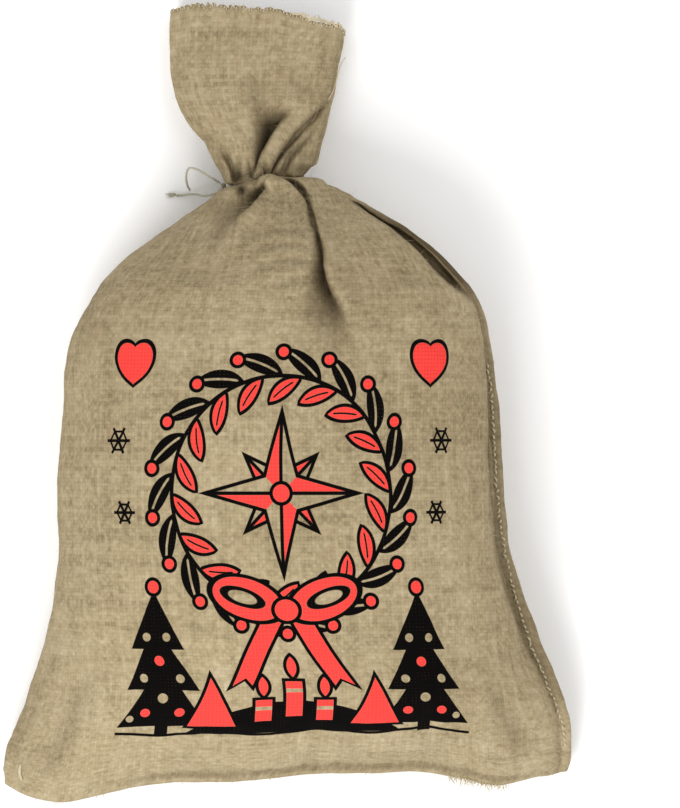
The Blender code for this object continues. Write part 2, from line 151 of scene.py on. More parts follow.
FOLDS = (
    Fold("top of the middle panel, rolled over the twine", (
        (-20.3, 142.7, 2, 3, 2, 1, 0.5), (-18.3, 146, 6, 4, 2, 3, 2),
        (-15.7, 148.3, 8, 4, 2, 4, 3), (-10.3, 149.3, 8, 4, 2, 4, 3),
        (-3.5, 147.6, 12, 3.6, 1.8, 4, 2.4), (1.7, 144.9, 15, 3.6, 1.8, 4, 2.4),
        (6.1, 141.3, 15, 3.4, 1.8, 3.6, 2.4), (9.9, 137.6, 13, 3.2, 1.8, 3, 2.2),
        (13.8, 131.2, 9, 2.8, 1.8, 2, 1.4), (17, 123.5, 4, 2.4, 2, 0.8, 0.4),
        (19.5, 116.5, 0.2, 2, 2, 0, 0))),
    Fold("main crease, its right side over its left", (
        (39, 30, 0, 14, 8, 0, 0), (37, 41, 4, 17, 8, 0.4, 0), (35.2, 53, 10, 18, 6.5, 1.2, 0.6),
        (33.2, 64.5, 20, 15, 4.4, 2.6, 2), (29.9, 75.5, 26, 12, 2.8, 3.6, 3),
        (27.4, 86, 23, 9, 2.2, 4, 3.2), (26.1, 96, 17, 6.6, 2, 4, 3),
        (23, 109.5, 13, 4.4, 1.9, 3.4, 2.4), (19.7, 116.5, 11, 3.7, 1.9, 2.6, 1.8),
        (17, 123.5, 9, 2.9, 1.8, 1.2, 1), (13.8, 131.2, 4, 2.6, 1.8, 0.3, 0.3))),
    Fold("left edge of the middle panel", (
        (-55.7, 107.2, 0, 15, 6, 0, 0), (-45, 113.2, 5, 15, 5, 1.2, 0.4),
        (-36.6, 118.5, 11, 14, 3.4, 2.4, 1.6), (-30.9, 122.3, 15, 12, 2.5, 3, 2.4),
        (-24.5, 126.7, 19, 10, 2, 3.6, 3), (-18.1, 133.1, 22, 8, 1.9, 4, 3.2),
        (-15, 137.7, 20, 6, 1.9, 4, 3), (-13.4, 141, 12, 3.6, 1.9, 2.4, 1.8))),
    Fold("right shoulder, the front over the sewn side", (
        (40, 136.2, 3, 1.8, 1.6, 0, 0), (46.4, 132.8, 15, 2.4, 1.7, 0.4, 0.2),
        (58.4, 124.4, 23, 3.2, 1.8, 1, 0.3), (67, 118.2, 29, 3.7, 1.8, 1.4, 0.3),
        (75.6, 111.8, 32, 4.3, 1.9, 2, 0.4), (87.4, 101.8, 33, 4.6, 2, 2.4, 0.4),
        (99.2, 88.8, 34, 5.2, 2.1, 2.6, 0.4), (107, 81.4, 32, 5, 2.1, 2.4, 0.4),
        (114.4, 75.6, 26, 4.2, 2, 2, 0.3), (121.6, 69.8, 16, 3, 1.9, 1.2, 0.2),
        (127.5, 62.3, 3, 2, 2, 0.2, 0))),
    Fold("front's edge, rolled over the sewn side", (
        (126.5, 62, 0, 2, 2.4, 0, 0), (130, 36, 3, 2.4, 3, 1.2, 0.4),
        (133.2, 0, 4, 2.4, 3.2, 2.4, 0.8), (134.8, -38.7, 5, 2.4, 3.2, 3.2, 1.2),
        (136.2, -70, 6, 2.4, 3.2, 3.4, 1.4), (138.8, -92, 7, 2.6, 3.2, 3.4, 1.6),
        (145.8, -123.5, 8, 2.8, 3.2, 3.2, 1.8), (153.6, -146, 7, 3, 3.2, 2.8, 1.6),
        (160, -164, 3, 3, 3.2, 1.2, 0.6), (166, -180, 0, 3, 3, 0, 0))),
    Fold("deep pocket in the mouth's front", (
        (-21.4, 149.6, 0, 1.8, 1.7, 0, 0), (-20.6, 153.6, 8, 2.2, 1.7, 0.5, 0.4),
        (-18.6, 159.6, 17, 3.2, 1.7, 1.4, 1.2), (-15.4, 166.4, 25, 5.6, 1.7, 2.4, 1.9),
        (-11.4, 174.3, 31, 8.5, 1.8, 3.4, 2.5), (-7.6, 181.9, 29, 10, 2, 3.2, 2.4),
        (-4.4, 187.9, 17, 9.5, 2.2, 2.2, 1.4), (-1.6, 193, 6, 8, 2.8, 1, 0.6),
        (1, 197.6, 1.5, 7, 4, 0.3, 0.1), (4.4, 203.6, 0, 7, 5, 0, 0))),
    Fold("soft hollow above the pocket", (
        (-7, 184, 0, 8, 8, 0, 0), (-11, 195, 5.2, 9, 8, 0, 0), (-17, 208, 5.4, 10, 10, 0, 0),
        (-20, 221, 2, 10, 10, 0, 0), (-22, 233, 0, 10, 10, 0, 0))),
    Fold("soft hollow beside it", (
        (4, 200, 0, 6, 6, 0, 0), (9, 210.5, 4.8, 7, 7, 0, 0), (12.5, 220, 3, 8, 8, 0, 0),
        (15, 230, 0, 8, 8, 0, 0))),
    Fold("crease below the ridge beside the pocket", (
        (32.2, 211, 1.5, 2.6, 2, 0.3, 0), (29.2, 206, 5, 2.8, 2, 1.2, 0.3),
        (25.7, 201.1, 8, 3.2, 2, 1.8, 0.7), (19.7, 194, 11, 3.8, 2, 2.4, 1.1),
        (9.7, 183.3, 13, 4.2, 2, 2.8, 1.6), (1.7, 174.3, 15, 4, 2, 3, 2),
        (-5.3, 165.3, 14, 3.4, 1.9, 2.6, 2.2), (-9, 158.2, 11, 2.6, 1.8, 2, 1.6),
        (-11, 152.8, 7, 2, 1.7, 1.2, 0.8))),
    Fold("valley inside the mouth's right side", (
        (-2, 153.3, 7, 2.2, 2, 0.6, 0), (1.7, 162.7, 9, 3, 2.6, 0.8, 0),
        (6.6, 169, 9, 3.4, 3, 0.8, 0), (12.3, 175.3, 6.5, 3.6, 3, 0.8, 0),
        (18.4, 183.6, 3, 3.4, 3, 0.4, 0), (23, 190, 0, 3, 3, 0, 0))),
    Fold("crease inside the mouth's left side", (
        (-33.9, 148.7, 7, 2.2, 1.7, 1.2, 0.8), (-34.9, 154.7, 9, 2.6, 1.8, 1.6, 1.2),
        (-37.4, 161.7, 9, 3.2, 1.9, 1.8, 1.2), (-41.4, 167.4, 6, 3.4, 2, 1.2, 0.8),
        (-45.4, 172.2, 2.6, 3, 2.2, 0.5, 0.3), (-48.6, 177, 0, 2.6, 2.2, 0, 0))),
    Fold("gather over the knot", (
        (-27.8, 136, 2, 2.8, 2.4, 0.6, 0), (-29.4, 140.6, 11, 3.4, 3, 1, 0),
        (-30, 145.7, 1, 3, 2.6, 1.4, 0), (-30.8, 150.4, 14, 3, 2.6, 1.4, 0),
        (-31.4, 157, 8, 2.4, 2.2, 0.8, 0), (-31.3, 165.3, 0.3, 2.4, 2.4, 0, 0))),
    Fold("gather beside it", (
        (-23.4, 147, 1, 1.8, 1.8, 0.8, 0), (-23.9, 151, 9, 2, 2, 1.4, 0),
        (-24.6, 157.3, 6, 2.2, 2.2, 0.8, 0), (-25.3, 167, 0, 2.6, 2.6, 0, 0))),
    Fold("gather above the middle panel", (
        (-14.6, 149.3, 6, 1.9, 1.9, 0.8, 0), (-15.2, 154, 8, 2, 2, 1, 0),
        (-14.6, 160.3, 2, 2, 2, 0.4, 0), (-13, 166, 0, 2.2, 2.2, 0, 0))),
    Fold("left ear's long fold", (
        (-158, -238, 5, 9, 7, 1.5, 0), (-146, -212, 5, 10, 8, 1.2, 0),
        (-134, -186, 2.5, 12, 10, 0.5, 0), (-124, -160, 0, 14, 12, 0, 0))),
    Fold("left ear's edge", (
        (-180, -218, 3, 6, 6, 0.8, 0), (-168, -188, 2.4, 7, 7, 0.6, 0),
        (-158, -152, 0, 8, 8, 0, 0))),
    Fold("right ear's long fold", (
        (160, -232, 5, 7, 9, 1.2, 0), (148, -206, 5, 8, 10, 1, 0),
        (138, -182, 2.6, 10, 12, 0.4, 0), (130, -156, 0, 12, 14, 0, 0))),
    Fold("puckers over the bottom seam", (
        (-72, -246, 2.4, 8, 8, 0.4, 0), (-64, -226, 2, 9, 9, 0.3, 0),
        (-58, -196, 0, 11, 11, 0, 0))),
    Fold("puckers over the bottom seam", (
        (44, -242, 2.4, 8, 8, 0.4, 0), (40, -222, 1.8, 9, 9, 0.3, 0), (38, -194, 0, 11, 11, 0, 0))),
    Fold("puckers over the bottom seam", (
        (100, -240, 2.6, 8, 8, 0.4, 0), (92, -220, 1.8, 9, 9, 0.3, 0),
        (86, -190, 0, 11, 11, 0, 0))),
    Fold("stretch line under the arc", (
        (-36, 101, 0, 3, 3, 0, 0), (-22, 110, 1.5, 2.4, 2.4, 0.7, 0),
        (-2, 113.5, 2.2, 2.2, 2.2, 0.8, 0), (12, 110, 1.4, 2.2, 2.2, 0.5, 0),
        (17.5, 106, 0, 2.4, 2.4, 0, 0))),
    Fold("stretch line below it", (
        (-38, 91, 0, 3, 3, 0, 0), (-16, 101.5, 1.8, 2.4, 2.4, 0.8, 0),
        (8, 103.5, 2.4, 2.2, 2.2, 0.8, 0), (18, 98, 1.2, 2.2, 2.2, 0.4, 0),
        (22, 95, 0, 2.4, 2.4, 0, 0))),
    Fold("stretch line towards the crease", (
        (-34, 81, 0, 3, 3, 0, 0), (-10, 92, 1.8, 2.6, 2.4, 0.7, 0),
        (12, 92.5, 2.6, 2.4, 2.2, 0.9, 0), (24, 86, 0.8, 2.4, 2.4, 0.3, 0))),
    Fold("stretch line towards the crease's end", (
        (-22, 70, 0, 4, 4, 0, 0), (0, 79, 1.6, 3.4, 3.2, 0.6, 0), (16, 80, 2.2, 3, 2.8, 0.8, 0),
        (25, 75, 0.6, 3, 3, 0.2, 0))),
    Fold("pull beside the crease", (
        (36, 106, 0, 3, 3, 0, 0), (44, 92, 1.6, 3, 3, 0.6, 0), (48, 74, 1.4, 3.4, 3.4, 0.5, 0),
        (48, 54, 0, 4, 4, 0, 0))),
)


def smooth_table(knots: np.ndarray, values: np.ndarray, at: np.ndarray) -> np.ndarray:
    """Read a table smoothly between its rows, without overshooting them.

    Args:
        knots: rising places of the table's rows.
        values: the table's values there.
        at: the places to read.

    Returns:
        The values at those places.
    """
    step = np.diff(knots)
    slope = np.diff(values) / step
    tangent = np.zeros(len(values))
    for i in range(1, len(values) - 1):
        if slope[i - 1] * slope[i] > 0.0:
            near = 2.0 * step[i] + step[i - 1]
            far = step[i] + 2.0 * step[i - 1]
            tangent[i] = (near + far) / (near / slope[i - 1] + far / slope[i])
    tangent[0] = slope[0]
    tangent[-1] = slope[-1]
    at = np.asarray(at, dtype=float)
    place = np.clip(np.searchsorted(knots, at, side="right") - 1, 0, len(step) - 1)
    f = unit((at - knots[place]) / step[place])
    h = step[place]
    return ((2 * f ** 3 - 3 * f ** 2 + 1) * values[place]
            + (f ** 3 - 2 * f ** 2 + f) * h * tangent[place]
            + (3 * f ** 2 - 2 * f ** 3) * values[place + 1]
            + (f ** 3 - f ** 2) * h * tangent[place + 1])


def smooth_route(points: Sequence[Sequence[float]], steps: int) -> np.ndarray:
    """Points of a smooth curve through a route's own points.

    Args:
        points: the route, with any values that go with each point.
        steps: how many points each stretch gets.

    Returns:
        The curve's points, one row each.
    """
    route = np.array(points, dtype=float)
    route = np.vstack((2 * route[0] - route[1], route, 2 * route[-1] - route[-2]))
    line = []
    for i in range(1, len(route) - 2):
        p0, p1, p2, p3 = route[i - 1:i + 3]
        for s in range(steps):
            t = s / steps
            line.append(0.5 * (2 * p1 + (p2 - p0) * t + (2 * p0 - 5 * p1 + 4 * p2 - p3) * t * t
                               + (3 * p1 - p0 - 3 * p2 + p3) * t ** 3))
    line.append(route[-2])
    return np.array(line)


def soft_noise(x: np.ndarray, y: np.ndarray, seed: int, waves: int = 7) -> np.ndarray:
    """Smooth uneven waves over the plane, about -1 to 1, of unit wavelength.

    Args:
        x: first coordinate, in wavelengths.
        y: second coordinate, in wavelengths.
        seed: which waves are drawn.
        waves: how many waves are added.

    Returns:
        The height at each point.
    """
    rng = np.random.default_rng(seed)
    total = np.zeros_like(x)
    for _ in range(waves):
        angle, phase, pitch = rng.uniform(0, math.pi), rng.uniform(0, 6.28), rng.uniform(0.7, 1.5)
        total += np.sin(6.28 * pitch * (x * math.cos(angle) + y * math.sin(angle)) + phase)
    return total / math.sqrt(waves) / 1.2


def bump(at: np.ndarray, middle: float, reach: Union[float, np.ndarray]) -> np.ndarray:
    """A soft hill of height 1 round a place."""
    return np.exp(-((at - middle) / reach) ** 2)


def unit(values: np.ndarray) -> np.ndarray:
    """Keep values from 0 to 1."""
    return np.clip(values, 0.0, 1.0)


def strides(points: np.ndarray) -> np.ndarray:
    """Distance from each point of a line, or of many lines, to the next."""
    return np.linalg.norm(np.diff(points, axis=-2), axis=-1)


def summed(steps: np.ndarray) -> np.ndarray:
    """Running sum of a row, or of many rows, from 0."""
    return np.concatenate((np.zeros((*steps.shape[:-1], 1)), np.cumsum(steps, axis=-1)), axis=-1)


def raised(points: np.ndarray, height: Union[float, np.ndarray]) -> np.ndarray:
    """Keep points at a height or above it."""
    return np.concatenate((points[..., :2], np.maximum(points[..., 2:], height)), axis=-1)


def placed(points: np.ndarray) -> np.ndarray:
    """Go from the drawing to the part's own frame, in metres."""
    return (points - ORIGIN) * MM


def closed(ring: np.ndarray) -> np.ndarray:
    """Repeat a ring's first point at its end."""
    return np.vstack((ring, ring[:1]))


def as_columns(row: dict[str, np.ndarray]) -> dict[str, np.ndarray]:
    """Stand each row of values up as a column."""
    return {name: values[:, None] for name, values in row.items()}


def tie_rise(x: np.ndarray) -> np.ndarray:
    """How far the tie's line lies above TIE_Y at an X."""
    return TIE_SLOPE * (x - TIE_X)


def ring_faces(high: int, count: int) -> np.ndarray:
    """Faces between closed rings of points.

    Args:
        high: how many rings there are.
        count: how many points a ring has.

    Returns:
        The four corners of each face, rows of rings first.
    """
    grid = np.arange(high * count).reshape(high, count)
    beside = np.roll(grid, -1, axis=1)
    return np.stack((grid[:-1], beside[:-1], beside[1:], grid[1:]), axis=-1)


def square_to(line: np.ndarray, hint: Sequence[float]) -> tuple[np.ndarray, np.ndarray]:
    """Two directions square to a line, carried along it without a twist.

    Args:
        line: the line's points.
        hint: a direction that the line doesn't start in.

    Returns:
        The two directions at each point.
    """
    tangent = np.gradient(line, axis=0)
    tangent /= np.maximum(np.linalg.norm(tangent, axis=1, keepdims=True), 1e-12)
    side = np.cross(tangent[0], hint)
    sides, others = [], []
    for t in tangent:
        side = side - t * (side @ t)
        side = side / np.linalg.norm(side)
        sides.append(side)
        others.append(np.cross(t, side))
    return np.array(sides), np.array(others)


# Where rows lie closer: how many more there are, the Y of their middle and how far they reach.
DENSE_ROWS = ((2.6, 150.0, 34.0), (0.8, 95.0, 45.0), (1.2, -248.0, 9.0), (0.9, 205.0, 30.0))


@dataclass
class SackCloth:
    """The sack's cloth as one closed mesh with the weave's own coordinates.

    Attributes:
        front_columns: grid columns on the front.
        back_columns: grid columns on the back.
        rows: grid rows from the bottom seam to the mouth.
        hem_columns: grid columns on each face of the seam allowance.
        inner_rows: grid rows on the inside of the open mouth.
        dense: points that each section's curve is first drawn with.
        wall: half the thickness of the turned seam allowance.
        cloth: thickness of the cloth at the open mouth.
        points: the grid's points on the drawing, rows first, once it is shaped.
        weave: each point's place in the cloth, in metres across and along.
        shade: how much painted shade the cloth has at each point, from 0.
        length: the cloth's length along its middle, in mm.
    """

    front_columns: int = 180
    back_columns: int = 92
    rows: int = 264
    hem_columns: int = 3
    inner_rows: int = 34
    dense: int = 560
    wall: float = 1.7
    cloth: float = 1.2
    points: np.ndarray = field(init=False)
    weave: np.ndarray = field(init=False)
    shade: np.ndarray = field(init=False)
    length: float = field(init=False, default=0.0)

    def build(self) -> bpy.types.Object:
        """Make the cloth's object.

        Returns:
            The sack, a closed mesh with a UV map in metres of cloth.
        """
        self.shape()
        self.roughen()
        self.points = raised(self.points + Settling().moves(self), 0.0)
        return self.to_object()

    @staticmethod
    def read(at: np.ndarray) -> dict[str, np.ndarray]:
        """Read the section table.

        Args:
            at: places along the sack, from 0 to 1.

        Returns:
            Each column's values at those places.
        """
        middle = 0.5 * (SECTIONS[:, 1] + SECTIONS[:, 3])
        lift = 0.35 * np.abs(np.diff(SECTIONS[:, 5]))
        knots = summed(np.hypot(np.diff(middle), lift) + 2.0)
        return {name: smooth_table(knots, SECTIONS[:, i], at * knots[-1])
                for i, name in enumerate(COLUMNS)}

    def row_places(self) -> tuple[np.ndarray, np.ndarray]:
        """Choose the rows, closer together where the folds are small.

        Returns:
            The rows' places along the sack, from 0 to 1, and in mm of cloth.
        """
        at = np.linspace(0.0, 1.0, 4000)
        row = self.read(at)
        y = 0.5 * (row["left_y"] + row["right_y"])
        step = np.hypot(np.diff(y), np.diff(row["crown"]))
        length = summed(step)
        near = 1.0
        for more, middle, reach in DENSE_ROWS:
            near = near + more * bump(y, middle, reach)
        dense = summed(0.5 * step * (near[1:] + near[:-1]))
        want = np.interp(np.linspace(0.0, dense[-1], self.rows + 1), dense, at)
        self.length = float(length[-1])
        return want, np.interp(want, at, length)

    def section(self, row: dict[str, np.ndarray], places: np.ndarray,
                front: bool) -> tuple[np.ndarray, np.ndarray, np.ndarray]:
        """Dense points of every section.

        Args:
            row: the table's values, one for each row.
            places: the rows' places along the sack, from 0 to 1.
            front: whether the front is drawn, or else the back.

        Returns:
            Points from the folded side to the seam, rows first; their places in
            the cloth's width, each with its shade; and how close they lie to a fold.
        """
        angle = np.linspace(0.0, math.pi, self.dense + 1)[None, :]
        share = 0.5 - 0.5 * np.cos(angle)
        col = as_columns(row)
        inner = col["right_x"] - col["hem"]
        x = col["left_x"] + share * (inner - col["left_x"])
        whole = (x - col["left_x"]) / (col["right_x"] - col["left_x"])
        y = col["left_y"] + whole * (col["right_y"] - col["left_y"]) + self.bow(col, whole)
        # The front and the back meet at the folded side and stay apart at the seam allowance.
        wall = self.wall * np.sqrt(unit(1.0 - (2 * share - 1) ** 12))
        wall = np.where(share > 0.5, self.wall, wall)
        swell = unit(np.sin(angle))
        turn = math.pi - angle if front else angle - math.pi
        if front:
            z = col["rim"] + (col["crown"] - col["rim"]) * swell ** col["front"] + wall
        else:
            z = col["rim"] - (col["rim"] - col["under"]) * swell ** col["back"] - wall
        u = self.across(np.stack((x, y, z), axis=-1), row)
        depth = self.gathers(turn, col["pleat"], 74.0 * places[:, None]) * swell
        x = x + 0.6 * depth * np.cos(turn)
        z = z + depth * np.sin(turn)
        close, shade = np.zeros_like(x), np.zeros_like(x)
        roll = swell ** 0.35 * unit((44.0 - x) / 34.0) if front else 0.0 * swell
        x, y, z = self.tied(x, y, z, roll)
        if front:
            dx, dy, dz, close, shade = self.folds(x, y)
            hold = unit(3.5 * swell)  # The folds fade out at both sides.
            x, y, z = x + dx * hold, y + dy * hold, z + dz * hold
        return np.stack((x, y, z), axis=-1), np.stack((u, shade), axis=-1), close

    @staticmethod
    def across(curve: np.ndarray, row: dict[str, np.ndarray]) -> np.ndarray:
        """Measure places in the cloth's width, where threads close up at the neck.

        Args:
            curve: the sections' points, rows first.
            row: the table's values, one for each row.

        Returns:
            Mm from the front centre, one for each point.
        """
        length = summed(strides(curve))
        middle = 0.5 * (row["left_y"] + row["right_y"])
        crowd = 1.0 + 0.6 * bump(middle, 147.0, 45.0)
        return (length - 0.5 * length[:, -1:]) * crowd[:, None]

    @staticmethod
    def bow(col: dict[str, np.ndarray], whole: np.ndarray) -> np.ndarray:
        """Bow the sections to follow the edges at the two ends.

        Args:
            col: the table's values, as columns.
            whole: places across the sack, from 0 to 1.

        Returns:
            The moves in Y.
        """
        low = smooth_table(BOTTOM_EDGE[:, 0], BOTTOM_EDGE[:, 1], whole)
        high = smooth_table(MOUTH_EDGE[:, 0], MOUTH_EDGE[:, 1], whole)
        return col["follow"] * np.where(col["left_y"] < 0.0, low, high)

    @staticmethod
    def gathers(turn: np.ndarray, pleat: np.ndarray, number: np.ndarray) -> np.ndarray:
        """Work out the gathers round each section.

        Args:
            turn: the angle round the section.
            pleat: depth of the gathers.
            number: place along the sack, by which they drift.

        Returns:
            How far each point stands out or in.
        """
        drift = 0.045 * number
        wave = np.cos(9.0 * turn + 0.6 + drift) + 0.55 * np.cos(5.0 * turn - 1.1 - drift)
        wave = wave + 0.35 * np.cos(14.0 * turn + 2.0)
        below = 0.5 - 0.5 * np.sin(turn)
        return pleat * wave * (0.18 + 0.67 * below)

    @staticmethod
    def folds(x: np.ndarray, y: np.ndarray) -> tuple[np.ndarray, ...]:
        """How the folds move each point of the front.

        Args:
            x: the points' X on the drawing.
            y: their Y.

        Returns:
            The moves in X, Y and Z, how close each point lies to a fold, and how
            deep it lies in one, from 0 to 1.
        """
        moves = [np.zeros_like(x) for _ in range(5)]
        for fold in FOLDS:
            line = smooth_route(fold.route, 6)
            line[:, 2:] = np.maximum(line[:, 2:], 0.0)
            line[:, 3:5] = np.maximum(line[:, 3:5], 0.8)
            reach = 3.0 * line[:, 3:5].max() + 5.0
            low, high = line[:, :2].min(axis=0) - reach, line[:, :2].max(axis=0) + reach
            inside = (x > low[0]) & (x < high[0]) & (y > low[1]) & (y < high[1])
            px, py = x[inside], y[inside]
            best = np.full(px.shape, 1e9)
            side, nx, ny = np.zeros_like(px), np.zeros_like(px), np.zeros_like(px)
            value = np.zeros((len(px), 5))
            for a, b in zip(line[:-1], line[1:]):
                d = b[:2] - a[:2]
                size = math.hypot(*d)
                t = unit(((px - a[0]) * d[0] + (py - a[1]) * d[1]) / size ** 2)
                ex, ey = px - a[0] - t * d[0], py - a[1] - t * d[1]
                away = np.hypot(ex, ey)
                closer = away < best
                best = np.where(closer, away, best)
                side = np.where(closer, np.sign(ex * d[1] - ey * d[0] + 1e-12), side)
                nx, ny = np.where(closer, d[1] / size, nx), np.where(closer, -d[0] / size, ny)
                value = np.where(closer[:, None], a[2:] + t[:, None] * (b[2:] - a[2:]), value)
            depth, left, right, lip, lap = value.T
            s = best * side
            trough = bump(best, 0.0, np.where(s > 0, right, left))
            bank = bump(s - 1.4 * right, 0.8, 1.3 * right + 1.2)
            shift = -lap * bump(s - 1.2 * right, 0.0, 1.1 * right + 0.8)
            moves[0][inside] += shift * nx
            moves[1][inside] += shift * ny
            moves[2][inside] += lip * bank - depth * trough
            near = unit(depth / 4.0) * bump(best, 0.0, 9.0)
            moves[3][inside] = np.maximum(moves[3][inside], near)
            moves[4][inside] = np.maximum(moves[4][inside], unit(depth / 16.0) * trough)
        return tuple(moves)

    @staticmethod
    def tied(x: np.ndarray, y: np.ndarray, z: np.ndarray,
             swell: np.ndarray) -> tuple[np.ndarray, ...]:
        """Draw the cloth in under the twine, and roll the front over it from both sides.

        Args:
            x: the points' X on the drawing.
            y: their Y.
            z: their Z.
            swell: how far the rolls go, 1 at the front's middle and 0 on the back.

        Returns:
            The moved X, Y and Z.
        """
        off = y - (TIE_Y + tie_rise(x))
        pull = 0.17 * bump(off, 0.0, 2.0) - 0.06 * bump(off, -4.4, 2.4) - 0.06 * bump(off, 4.4, 2.4)
        x, z = x - 0.5 * pull * (x + 14.0), z - pull * (z - 40.0)
        low = (4.8 + 0.8 * bump(x, -8.0, 11.0)) * bump(off, -5.8, 4.4) * swell
        high = 4.6 + 1.8 * bump(x, -29.0, 10.0) + 1.2 * bump(x, 9.0, 6.0)
        high = high * bump(off, 5.4, 4.0) * swell
        return x, y + low - high, z + 0.85 * low + 0.9 * high

    @staticmethod
    def spread(curve: np.ndarray, u: np.ndarray, close: np.ndarray,
               count: int) -> tuple[np.ndarray, np.ndarray]:
        """Choose each row's points, closer together near the folds.

        Args:
            curve: rows by points by three.
            u: the points' places in the cloth's width, each with its shade.
            close: how close they lie to a fold.
            count: how many stretches each row gets.

        Returns:
            The chosen points, and their places in the cloth's width with their shades.
        """
        length = summed(strides(curve) * (1.0 + 2.2 * 0.5 * (close[:, 1:] + close[:, :-1])))
        both = np.concatenate((curve, u), axis=2)
        out = np.empty((len(curve), count + 1, 5))
        for r in range(len(curve)):
            want = np.linspace(0.0, length[r, -1], count + 1)
            for k in range(5):
                out[r, :, k] = np.interp(want, length[r], both[r, :, k])
        return out[..., :3], out[..., 3:]

    def shape(self) -> None:
        """Draw the cloth ring by ring, with each point's place in the weave."""
        places, v = self.row_places()
        row = self.read(places)
        front, u_front = self.spread(*self.section(row, places, True), self.front_columns)
        back, u_back = self.spread(*self.section(row, places, False), self.back_columns)
        hem = self.hem(row, front[:, -1], back[:, -1])
        self.points = raised(np.concatenate((front, hem, back[:, ::-1][:, :-1]), axis=1), 0.0)
        step = strides(np.concatenate((front[:, -1:], hem), axis=1))
        out = u_front[:, -1:, 0] + np.cumsum(step, axis=1)
        under = u_front[:, :1, 0] - (u_back[:, ::-1, 0] - u_back[:, :1, 0])[:, :-1]
        us = np.concatenate((u_front[..., 0], out, under), axis=1)
        self.weave = np.stack((us, v[:, None] + 0 * us), axis=-1) * MM
        # Painted shade: darker where the seam allowance turns, beside the right shoulder, in folds
        # and by the tie.
        wide = unit((row["hem"] - 2.0) / 5.0)[:, None]
        shoulder = unit(1.7 - np.abs(row["right_y"] - 99.0) / 24.0)[:, None]
        wide = wide * np.clip((v[:, None] - 72.0) / 34.0, 0.12, 1.0)
        rim = np.zeros((len(hem), hem.shape[1])) + 0.42 * wide
        rim[:, :2] += 0.35 * wide
        strip = unit(1.5 - (row["right_x"][:, None] - front[..., 0]) / 6.0) * shoulder
        top = np.maximum(np.clip(u_front[..., 1] + self.shade_spots(front), 0.0, 1.2), 1.4 * strip)
        self.shade = np.concatenate((top, np.maximum(rim, 1.5 * shoulder), 0 * under), axis=1)
        LOG.info("cloth: %.0f mm along the middle, front %.0f mm across",
                 self.length, float(np.max(u_front[:, -1, 0] - u_front[:, 0, 0])))

    @staticmethod
    def shade_spots(front: np.ndarray) -> np.ndarray:
        """How dark the cloth is painted with shade near the tie."""
        return sum(dark * bump(front[..., 0], x, wide) * bump(front[..., 1], y, high)
                   for x, y, wide, high, dark in SHADE_SPOTS)

    def hem(self, row: dict[str, np.ndarray], top: np.ndarray, bottom: np.ndarray) -> np.ndarray:
        """The seam allowance along the sewn side: out along its front, back along its rear.

        Args:
            row: the table's values, one for each row.
            top: where the front meets it, one point for each row.
            bottom: where the back meets it.

        Returns:
            Its points, rows first.
        """
        out = np.stack((row["right_x"], row["right_y"], row["rim"]), axis=-1)
        col = as_columns(row)
        out[:, 1] += self.bow(col, np.ones((len(out), 1)))[:, 0]
        wide = unit(row["hem"] / 8.0)
        flutter = soft_noise(out[:, 1] / 34.0, 0.0 * out[:, 1], 5, 4)
        low = unit((out[:, 1] + 192.0) / 50.0)
        out[:, 2] -= (1.0 + 7.0 * low - 1.3 * flutter * low) * wide
        rim_top = out + np.array((-0.5, 0.0, 0.8 * self.wall))
        rim_low = out + np.array((-0.5, 0.0, -0.8 * self.wall))
        sunk = wide * np.clip((out[:, 1] + 190.0) / 36.0, 0.04, 1.0)
        columns = []
        # The share of the way out, and how far the stitches draw the cloth down there.
        for s, dip in ((0.14, 3.8), (0.55, 0.9), (1.0, 0.0)):
            columns.append(top + s * (rim_top - top) - np.array((0.0, 0.0, dip)) * sunk[:, None])
        columns.append(out)
        for k in range(self.hem_columns, 0, -1):
            s = k / self.hem_columns
            columns.append(bottom + s * (rim_low - bottom))
        return np.stack(columns, axis=1)

    def roughen(self) -> None:
        """Small uneven waves all over, and the puckers that the seams draw."""
        normal = self.normals(self.points)
        u, v = self.weave[..., 0] / MM, self.weave[..., 1] / MM
        wave = 0.8 * soft_noise(u / 80.0, v / 95.0, 3) + 0.35 * soft_noise(u / 27.0, v / 36.0, 4)
        wave = wave + 0.12 * soft_noise(u / 9.0, v / 11.0, 8)
        x = self.points[..., 0]
        sewn = unit((150.0 - x) / 30.0) * unit((x + 125.0) / 60.0)
        groove = -1.0 * bump(v, 7.6, 3.2) * sewn
        pucker = 0.5 * soft_noise(u / 13.0, 0 * v, 12) * bump(v, 11.0, 12.0)
        pucker = pucker + 0.7 * soft_noise(u / 24.0, v / 90.0, 15) * bump(v, 18.0, 22.0)
        pucker = pucker * unit((182.0 - x) / 25.0)
        ragged = 0.8 * soft_noise(u / 5.0, 0 * v, 21) + 0.5 * soft_noise(u / 2.6, 0 * v, 22)
        free = unit(self.points[..., 2] / 12.0)
        self.points = self.points + normal * (free * (wave + groove + pucker))[..., None]
        turned = unit((8.0 - v) / 8.0) * free
        self.points[..., 2] -= (1.6 + 8.0 * unit((-x - 50.0) / 70.0)) * turned
        self.points = raised(self.points, 0.0)
        below = self.weave[..., 1] / MM - self.length
        self.points[..., 1] += ragged * bump(below, 0.0, 1.2)
        self.points[..., 1] -= 2.2 * bump(x, OPEN_X, OPEN_REACH) * bump(below, 0.0, 5.0)
        # Even out the seam allowance's kinks at the lower right corner.
        corner = 0.5 * (unit((x - 145.0) / 20.0) * unit((75.0 - v) / 20.0))[1:-1, :, None]
        for _ in range(40):
            between = 0.5 * (self.points[:-2] + self.points[2:])
            self.points[1:-1] += corner * (between - self.points[1:-1])

